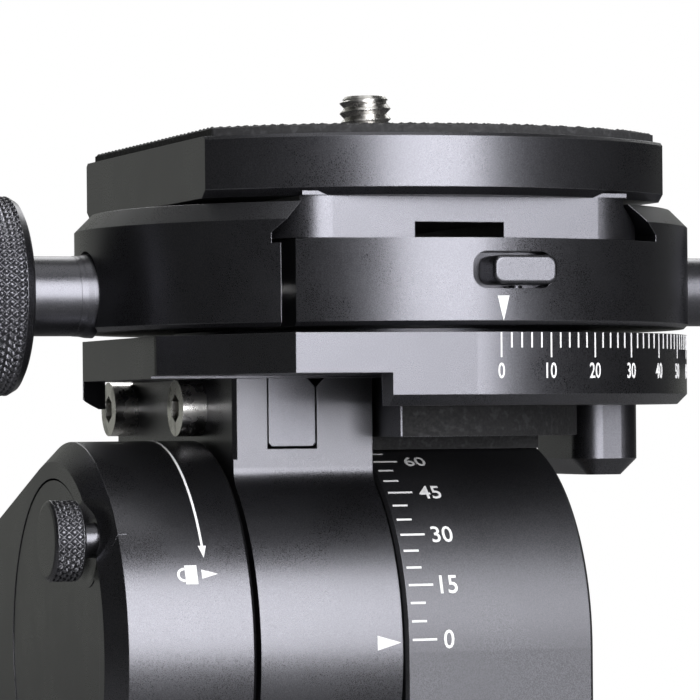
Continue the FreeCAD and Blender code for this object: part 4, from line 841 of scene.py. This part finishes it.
@dataclass
class StageLooks:
    """Marks, thumbscrew and scoop fill of one geared stage, whose axis is its own X."""

    name: str
    frame: Frame
    drum: float = 24.6
    knob: float = 24.7
    knob_left: float = -41.4
    knob_chamfer: float = 2.3
    zero: float = 3.4
    pointer_left: float = -9.3
    pointer_angle: float = 2.8
    mark_place: Flat = (-29.9, 22.7)
    sign_place: Flat = (-31.5, 22.6)
    arrow_left: float = -29.4
    arrow_from: float = 104.0
    arrow_to: float = 31.0
    screw_reach: float = 20.0
    screw_angle: float = 42.0
    worm_along: float = 5.8
    worm_drop: float = 17.0

    @property
    def axis(self) -> Axis:
        """The row axis that the stage turns about."""
        return Axis.Y if self.frame.turned else Axis.X

    @property
    def centre(self) -> Point:
        """The middle of the stage, on its axis."""
        return (0.0, 0.0, self.frame.height)

    @property
    def worm_axis(self) -> Axis:
        """The row axis that the stage's worm turns about."""
        return Axis.X if self.frame.turned else Axis.Y

    @property
    def worm_centre(self) -> Point:
        """A point on the worm's axis, under the stage's middle and beside it."""
        level = self.frame.height - self.worm_drop
        return (0.0, self.worm_along, level) if self.frame.turned else (self.worm_along, 0.0, level)

    def black(self) -> Anodised:
        """The stage's own black finish, turned about its axis."""
        return Anodised(f"{self.name}_black", self.axis, self.centre, STAGE_TINT)

    def on(self, radius: float, along: float, angle: float, turned: bool = False) -> Rim:
        """A place on a drum about the stage's axis."""
        return Rim(self.frame, Axis.X, radius, along, angle, turned)

    def scale(self, paint: Material) -> Piece:
        """Degree marks on the housing, numbered every fifteen."""
        scale = DegreeScale(self.on(self.drum, -5.0, self.zero), range(0, 80, 5), every=15, run=(1.0, 0.0),
                            long=3.0, short=1.85, half=0.13, digit_along=-1.15, digit_high=2.2,
                            squeeze=0.92, anchor=Anchor.START)
        return scale.draw(f"{self.name}_scale_marks", paint)

    def pointer(self, paint: Material) -> Piece:
        """The triangle on the ring that reads the scale.

        Args:
            paint: its finish.

        Returns:
            The piece.
        """
        ink = Ink()
        ink.arrow((0.0, 0.0), (2.8, 0.0), 0.85, self.on(self.drum, self.pointer_left, self.pointer_angle))
        return ink.dry(f"{self.name}_pointer_mark", paint)

    def lock_marks(self, paint: Material) -> Piece:
        """The turning arrow of the lock knob, a plain padlock sign and its pointer.

        Args:
            paint: its finish.

        Returns:
            The piece.
        """
        ink = Ink()
        line = self.on(self.knob, self.arrow_left, 0.0)
        rise = [math.radians(a) * self.knob for a in np.linspace(self.arrow_from, self.arrow_to, 60)]
        line_half, bow_line = 0.14, 0.15
        ink.stroke([(0.0, v) for v in rise], [line_half] * len(rise), line)
        tip = rise[-1]
        ink.arrow((0.0, tip), (0.0, tip - 1.5), 0.48, line)
        ink.arrow((0.0, 0.0), (1.85, 0.0), 0.56, self.on(self.knob, *self.mark_place))
        sign = self.on(self.knob, *self.sign_place, turned=True)
        body_half, body_up, body_high, bow_half, bow_high, shoulder = 1.15, -0.35, 0.72, 0.72, 0.78, 0.42
        ink.stroke([(-body_half, body_up), (body_half, body_up)], [body_high] * 2, sign)
        bow = [(bow_half * math.cos(a), shoulder + bow_high * math.sin(a))
               for a in np.linspace(0.0, math.pi, 16)]
        ink.stroke(bow, [bow_line] * len(bow), sign)
        return ink.dry(f"{self.name}_lock_marks", paint)

    def thumbscrew(self, material: Material) -> Piece:
        """Knurled head, bare neck and shank of the friction screw.

        Args:
            material: its finish.

        Returns:
            The piece.
        """
        proud, thick, shank, wide, thin, core, rim = 4.8, 3.8, 13.9, 4.7, 2.0, 0.3, 0.4
        back = self.knob_left - proud
        head = back + thick
        tip = head + shank
        profile = [(back, core), (back, 4.1), (back + 0.12, 4.45), (back + rim, wide), (head - rim, wide),
                   (head - 0.1, 4.4), (head, 3.9), (head, thin), (tip, thin), (tip, core)]
        points, faces = Turned(profile, Knurl(back + rim, head - rim, 26, 1.25, 0.34), 260, 0.1).shell()
        angle = math.radians(self.screw_angle)
        points += (0.0, -self.screw_reach * math.cos(angle), self.screw_reach * math.sin(angle))
        return finish_mesh(f"{self.name}_thumbscrew", self.frame.row(points), faces, material)

    def scoop_fill(self, material: Material) -> Piece:
        """The lock knob's end round the friction screw, with a shallow dish that fades out.

        The surface is the knob's end face and chamfer, x = face + max(R - edge, 0), where R is the
        distance from the stage axis, sunk by a dish that falls smoothly to nothing at its rim.

        Args:
            material: its finish.

        Returns:
            The piece.
        """
        hole, wall, dish, inner, outer = 2.08, 5.45, 1.0, 2.3, 5.0
        rim, edge = self.knob + 0.012, self.knob - self.knob_chamfer
        face, floor = self.knob_left - 0.006, self.knob_left + 3.42
        angle = math.radians(self.screw_angle)
        middle = np.array([-math.cos(angle), math.sin(angle)]) * self.screw_reach
        turn = circle(240)
        way = np.stack([np.cos(turn), np.sin(turn)])
        toward = middle @ way
        end = np.minimum(wall, np.sqrt(toward ** 2 - middle @ middle + rim ** 2) - toward)
        reach = hole + np.linspace(0.0, 1.0, 30)[:, None] * (end - hole)
        rows_r = np.concatenate([reach, [end], [np.full_like(end, hole)]])
        y, z = (middle[i] + rows_r * way[i] for i in range(2))
        share = np.clip((reach - inner) / (outer - inner), 0.0, 1.0)
        level = face + np.maximum(np.hypot(y, z)[:len(reach)] - edge, 0.0)
        level += dish * (1.0 - share ** 2 * (3.0 - 2.0 * share))
        x = np.concatenate([level, np.full((2, len(turn)), floor)])
        points = np.stack([x, y, z], axis=2).reshape(-1, 3)
        return finish_mesh(f"{self.name}_scoop_fill", self.frame.row(points),
                           grid_faces(*x.shape, ring=True), material)


@dataclass
class ClampLooks:
    """Marks, front corner, sleeve, collar, knurled knobs, pad and camera screw of the clamp and disc."""

    frame: Frame = Frame(96.0)
    disc: float = 37.1
    clamp: float = 37.3
    zero: float = 2.4
    pointer_angle: float = 2.75
    pointer_top: float = 41.0
    plate_back: float = 5.4

    def scale(self, paint: Material) -> Piece:
        """Degree marks on the disc's rim, every two degrees, numbered every ten."""
        scale = DegreeScale(Rim(self.frame, Axis.Z, self.disc, 36.85, self.zero), range(0, 182, 2), every=10,
                            run=(0.0, -1.0), long=2.85, short=1.75, half=0.1, digit_along=32.5,
                            digit_high=1.8, squeeze=0.72, anchor=Anchor.MIDDLE)
        return scale.draw("pan_scale_marks", paint)

    def pointer(self, paint: Material) -> Piece:
        """The triangle on the clamp that reads the pan scale.

        Args:
            paint: its finish.

        Returns:
            The piece.
        """
        ink = Ink()
        place = Rim(self.frame, Axis.Z, self.clamp, self.pointer_top, self.pointer_angle)
        ink.arrow((0.0, 0.0), (0.0, -2.8), 0.72, place)
        return ink.dry("pan_pointer_mark", paint)

    def front_corner(self, material: Material) -> Piece:
        """The corner that squares the disc's left front: a facet, then a flat that runs into the rim.

        Sections across X are joined. Each has an outer front that ends in a chamfer, and an inner side
        that lies inside the solid. Right of the notch the flat reaches down over the lower layer.

        Args:
            material: its finish.

        Returns:
            The piece.
        """
        flat, top = -self.disc + 0.03, 36.88
        upper, lower = (32.32, 0.02), (28.62, 1.2)
        rows = [(-33.3, -16.5, -15.9, upper), (-22.95, flat, -27.8, upper),
                (-11.505, flat, -33.0, upper)]
        rows += [(x, flat, -33.4, lower) for x in (-11.5, -8.0, -4.0, 0.0)]
        points = np.array([(x, y, z) for x, front, inner, (low, cut) in rows for y, z in (
            (front, top), (front, low + cut), (front + cut, low), (inner, low), (inner, top))])
        return finish_mesh("pan_front_corner", self.frame.row(points), grid_faces(len(rows), 5), material)

    def sleeve(self, material: Material) -> Piece:
        """Rubber sleeve round the skirt and, under it, a wiper that follows the housing's drum.

        Args:
            material: its finish.

        Returns:
            The piece.
        """
        inner, outer, low, high = 23.4, 23.68, 25.02, 28.62
        drum, width, left, right, root = 24.75, 8.0, -5.5, 17.3, 25.4
        ink = Ink()
        turn = np.radians(np.linspace(-13.4, 193.4, 140))
        ring = [(reach * np.sin(turn), -reach * np.cos(turn), np.full_like(turn, level))
                for reach, level in ((inner, low), (outer, low), (outer, high), (inner, high))]
        across = np.linspace(-width, 0.0, 25)
        under = np.sqrt(drum ** 2 - across ** 2)
        roof = np.full_like(under, root)
        wiper = [(np.full_like(across, x), across, z)
                 for x, z in ((left, under), (right, under), (right, roof), (left, roof))]
        for loops in (np.array(ring), np.array(wiper)):
            ink.add(self.frame.row(loops.transpose(2, 0, 1).reshape(-1, 3)), grid_faces(loops.shape[2], 4))
        return ink.dry("pan_skirt_sleeve", material)

    def collar(self, material: Material) -> Piece:
        """Flared collar of the clamp screw where it meets the jaw.

        Args:
            material: its finish.

        Returns:
            The piece.
        """
        around, shaft_level = 120, 42.0
        along, radius = np.array([(-38.9, 4.6), (-38.9, 4.78), (-38.1, 4.82), (-37.4, 4.96), (-36.56, 5.0),
                                  (-36.56, 4.6)]).T[:, :, None]
        turn = circle(around)
        points = np.stack([np.repeat(along, around, axis=1), radius * np.cos(turn),
                           radius * np.sin(turn) + shaft_level], axis=2).reshape(-1, 3)
        return finish_mesh("clamp_screw_collar", self.frame.row(points),
                           grid_faces(len(along), around, ring=True), material)

    def knob(self, name: str, height: float, ends: Flat, radius: float, shaft: float, count: int,
             material: Material) -> Piece:
        """A knurled knob on an X shaft, hollow where the shaft goes in.

        Args:
            name: the piece's name.
            height: its axis above the tilt axis.
            ends: its inner and outer end along X.
            radius: its radius.
            shaft: the shaft's radius.
            count: diamonds round it.
            material: its finish.

        Returns:
            The piece.
        """
        inner, outer = ends
        way = 1.0 if outer > inner else -1.0
        length = abs(outer - inner)
        core, end_wall, start, stop = 0.3, 2.0, 1.2, length - 1.5
        profile = [(length - end_wall, core), (length - end_wall, shaft), (0.0, shaft), (0.0, radius - 1.2),
                   (0.35, radius - 0.5), (start, radius), (stop, radius), (length - 0.4, radius - 0.5),
                   (length, radius - 1.5), (length, core)]
        points, faces = Turned(profile, Knurl(start, stop, count, 1.25, 0.36), count * 7, 0.15).shell()
        points[:, 0] = inner + way * points[:, 0]
        points[:, 2] += height
        return finish_mesh(name, self.frame.row(points), faces, material)

    def camera_screw(self, material: Material) -> Piece:
        """Head, neck and helical thread of the camera screw.

        Args:
            material: its finish.

        Returns:
            The piece.
        """
        core, head, neck, thread, pitch, depth = 0.3, 4.8, 2.5, 3.175, 1.27, 0.6
        low, seat, shoulder, top = 49.75, 51.95, 61.3, 66.8
        profile = [(low, core), (low, head), (seat, head), (seat, neck), (shoulder, neck), (shoulder, thread),
                   (66.0, thread), (top, 2.45), (top, core)]
        points, faces = Turned(profile, Helix(61.25, 66.5, pitch, depth), 96, 0.1).shell()
        along, y, z = points.T
        upright = np.stack([y, z + self.plate_back, along], axis=1)
        return finish_mesh("camera_screw_threaded", self.frame.row(upright), faces, material)

    def pad(self, material: Material) -> Piece:
        """The pad, a closed ring round the screw's hole with small pyramids on top.

        The outline is the smaller of the plate's inset radius and the distance to its side flats.
        The top falls a little between the pyramids, whose height is the lower of saw(x + y) and
        saw(x - y), steepened and cut off flat.

        Args:
            material: its finish.

        Returns:
            The piece.
        """
        hole, rim, flat, low, top, bevel = 3.675, 37.7, 27.5, 59.8, 61.0, 0.3
        spacing, fall, steep = 1.6, 0.28, 1.4
        turn = circle(720)
        reach = np.minimum(rim, flat / np.maximum(np.abs(np.cos(turn)), 1e-6))
        share = np.linspace(0.0, 1.0, 112)
        radius = hole + share[:, None] * (reach[None, :] - bevel - hole)
        x, y = radius * np.cos(turn), radius * np.sin(turn)
        pyramid = np.minimum(saw((x + y) / spacing), saw((x - y) / spacing))
        level = top - fall * (1.0 - np.clip(steep * pyramid, 0.0, 1.0))
        rows_r = np.concatenate([radius, [reach], [reach], [np.full_like(reach, hole)]])
        rows_z = np.concatenate([level, [np.full_like(reach, top - bevel)], np.full((2, len(turn)), low)])
        points = np.stack([rows_r * np.cos(turn), rows_r * np.sin(turn) + self.plate_back, rows_z], axis=2)
        return finish_mesh("pad_ribbed", self.frame.row(points.reshape(-1, 3)),
                           grid_faces(*rows_r.shape, ring=True), material)


# -------- dressing the frame


@dataclass
class Dresser:
    """Gives the CAD nodes their finishes, and lets new pieces ride with them.
    """

    frame: dict
    made: dict[str, Material] = field(default_factory=dict)

    def material(self, finish: Finish) -> Material:
        """The material of a finish, made once."""
        if finish.name not in self.made:
            self.made[finish.name] = finish.build()
        return self.made[finish.name]

    def dress(self, finish: Finish, *names: str) -> None:
        """Put a finish on CAD nodes.

        Args:
            finish: the finish.
            names: the nodes.
        """
        for name in names:
            mesh = self.frame["nodes"][name].data
            mesh.materials.clear()
            mesh.materials.append(self.material(finish))
            log.info("dressed %s in %s", name, finish.name)

    def hang(self, piece: Piece, node: str, instead: bool = False) -> None:
        """Let a piece ride with the body of a CAD node, and stand for that node where it replaces it.

        Args:
            piece: the new piece.
            node: the CAD node that it sits on or replaces.
            instead: whether it replaces the node.
        """
        bodies = self.frame["record"]["behaviour"]["bodies"]
        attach(piece, next(body for body, nodes in bodies.items() if node in nodes))
        if instead:
            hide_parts(node)


def dress_stage(dresser: Dresser, stage: StageLooks) -> None:
    """Dress the CAD nodes of one geared stage.

    Args:
        dresser: holds the frame and finishes.
        stage: the stage.
    """
    name, axis, centre = stage.name, stage.axis, stage.centre

    def dress(finish: Finish, *parts: str) -> None:
        """Put a finish on parts of this stage."""
        dresser.dress(finish, *(f"{name}_{part}" for part in parts))

    dress(stage.black(), "bracket", "lock_knob", "lock_disc", "friction_screw", "washer")
    dress(Anodised(f"{name}_housing_black", axis, centre, HOUSING_TINT, roughness=0.43), "housing", "cover")
    dress(Steel(f"{name}_steel", axis, centre), "shaft", "lock_stud", "bracket_screws", "cover_screws")
    dress(Bronze(f"{name}_bronze", axis, centre), "bush", "end_bush", "wheel")
    axis, centre = stage.worm_axis, stage.worm_centre
    dress(Anodised(f"{name}_dial_black", axis, centre), "worm_knob")
    dress(Steel(f"{name}_worm_steel", axis, centre), "worm")
    dress(Bronze(f"{name}_worm_bronze", axis, centre), "worm_bushes")


def dress_top(dresser: Dresser) -> None:
    """Dress the CAD nodes of the base, the pan stage, the clamp and the plate.

    Args:
        dresser: holds the frame and finishes.
    """
    plate_middle, knob_middle = (0.0, 5.4, 0.0), (0.0, 0.0, 138.0)
    dresser.dress(Anodised("pan_black", Axis.Z), "pan_base", "clamp_body", "clamp_jaw", "slide_button",
                  "base_plate", "button_detent", "pan_washer")
    dresser.dress(Anodised("plate_black", Axis.Z, plate_middle), "camera_plate")
    dresser.dress(Anodised("knob_black", Axis.X, knob_middle), "clamp_knob", "clamp_screw",
                  "pan_lock_screw", "pan_lock_knob")
    dresser.dress(Steel("pan_steel", Axis.Z), "base_screws", "pan_spindle", "pan_nut", "jaw_guide_pins",
                  "jaw_springs")
    dresser.dress(Steel("camera_screw_steel", Axis.Z, plate_middle), "camera_screw")
    dresser.dress(Bronze("pan_bronze", Axis.Z), "pan_brake_shoe")
    dresser.dress(Rubber("pad_rubber"), "plate_pad")


def add_stage_looks(dresser: Dresser, stage: StageLooks) -> None:
    """Build the marks of one geared stage and its pieces that stand for plain CAD ones.

    Args:
        dresser: holds the frame and finishes.
        stage: the stage.
    """
    paint = dresser.material(MarkPaint("white_marks"))
    dresser.hang(stage.scale(paint), f"{stage.name}_housing")
    dresser.hang(stage.pointer(paint), f"{stage.name}_bracket")
    dresser.hang(stage.lock_marks(paint), f"{stage.name}_lock_knob")
    black = dresser.material(stage.black())
    dresser.hang(stage.thumbscrew(black), f"{stage.name}_friction_screw", instead=True)
    plain = dresser.material(replace(stage.black(), name=f"{stage.name}_plain_black", edge=0.0))
    dresser.hang(stage.scoop_fill(plain), f"{stage.name}_lock_knob")


def add_top_looks(dresser: Dresser) -> None:
    """Build the marks of the disc and the clamp, and the pieces that stand for plain CAD ones.

    Args:
        dresser: holds the frame and finishes.
    """
    paint = dresser.material(MarkPaint("white_marks"))
    clamp, black = ClampLooks(), dresser.made["knob_black"]
    dresser.hang(clamp.scale(paint), "pan_base")
    dresser.hang(clamp.pointer(paint), "clamp_body")
    dresser.hang(clamp.front_corner(dresser.made["pan_black"]), "pan_base")
    dresser.hang(clamp.sleeve(dresser.material(Rubber("sleeve_rubber"))), "pan_base")
    dresser.hang(clamp.collar(black), "clamp_screw")
    knob = clamp.knob("clamp_knob_knurled", 42.0, (-46.0, -58.0), 11.8, 4.75, 72, black)
    dresser.hang(knob, "clamp_knob", instead=True)
    knob = clamp.knob("pan_lock_knob_knurled", 42.6, (46.0, 57.0), 9.5, 4.25, 58, black)
    dresser.hang(knob, "pan_lock_knob", instead=True)
    screw = clamp.camera_screw(dresser.made["camera_screw_steel"])
    dresser.hang(screw, "camera_screw", instead=True)
    dresser.hang(clamp.pad(dresser.made["pad_rubber"]), "plate_pad", instead=True)


def main() -> None:
    """Load the frame and build every piece."""
    logging.basicConfig(level=logging.INFO, format="%(name)s: %(message)s")
    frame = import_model()
    Studio().build()
    dresser = Dresser(frame)
    stages = (StageLooks("tilt", Frame(96.0)), StageLooks("roll", Frame(38.0, turned=True)))
    for stage in stages:
        dress_stage(dresser, stage)
    dress_top(dresser)
    for stage in stages:
        add_stage_looks(dresser, stage)
    add_top_looks(dresser)


if __name__ == "__main__":
    main()
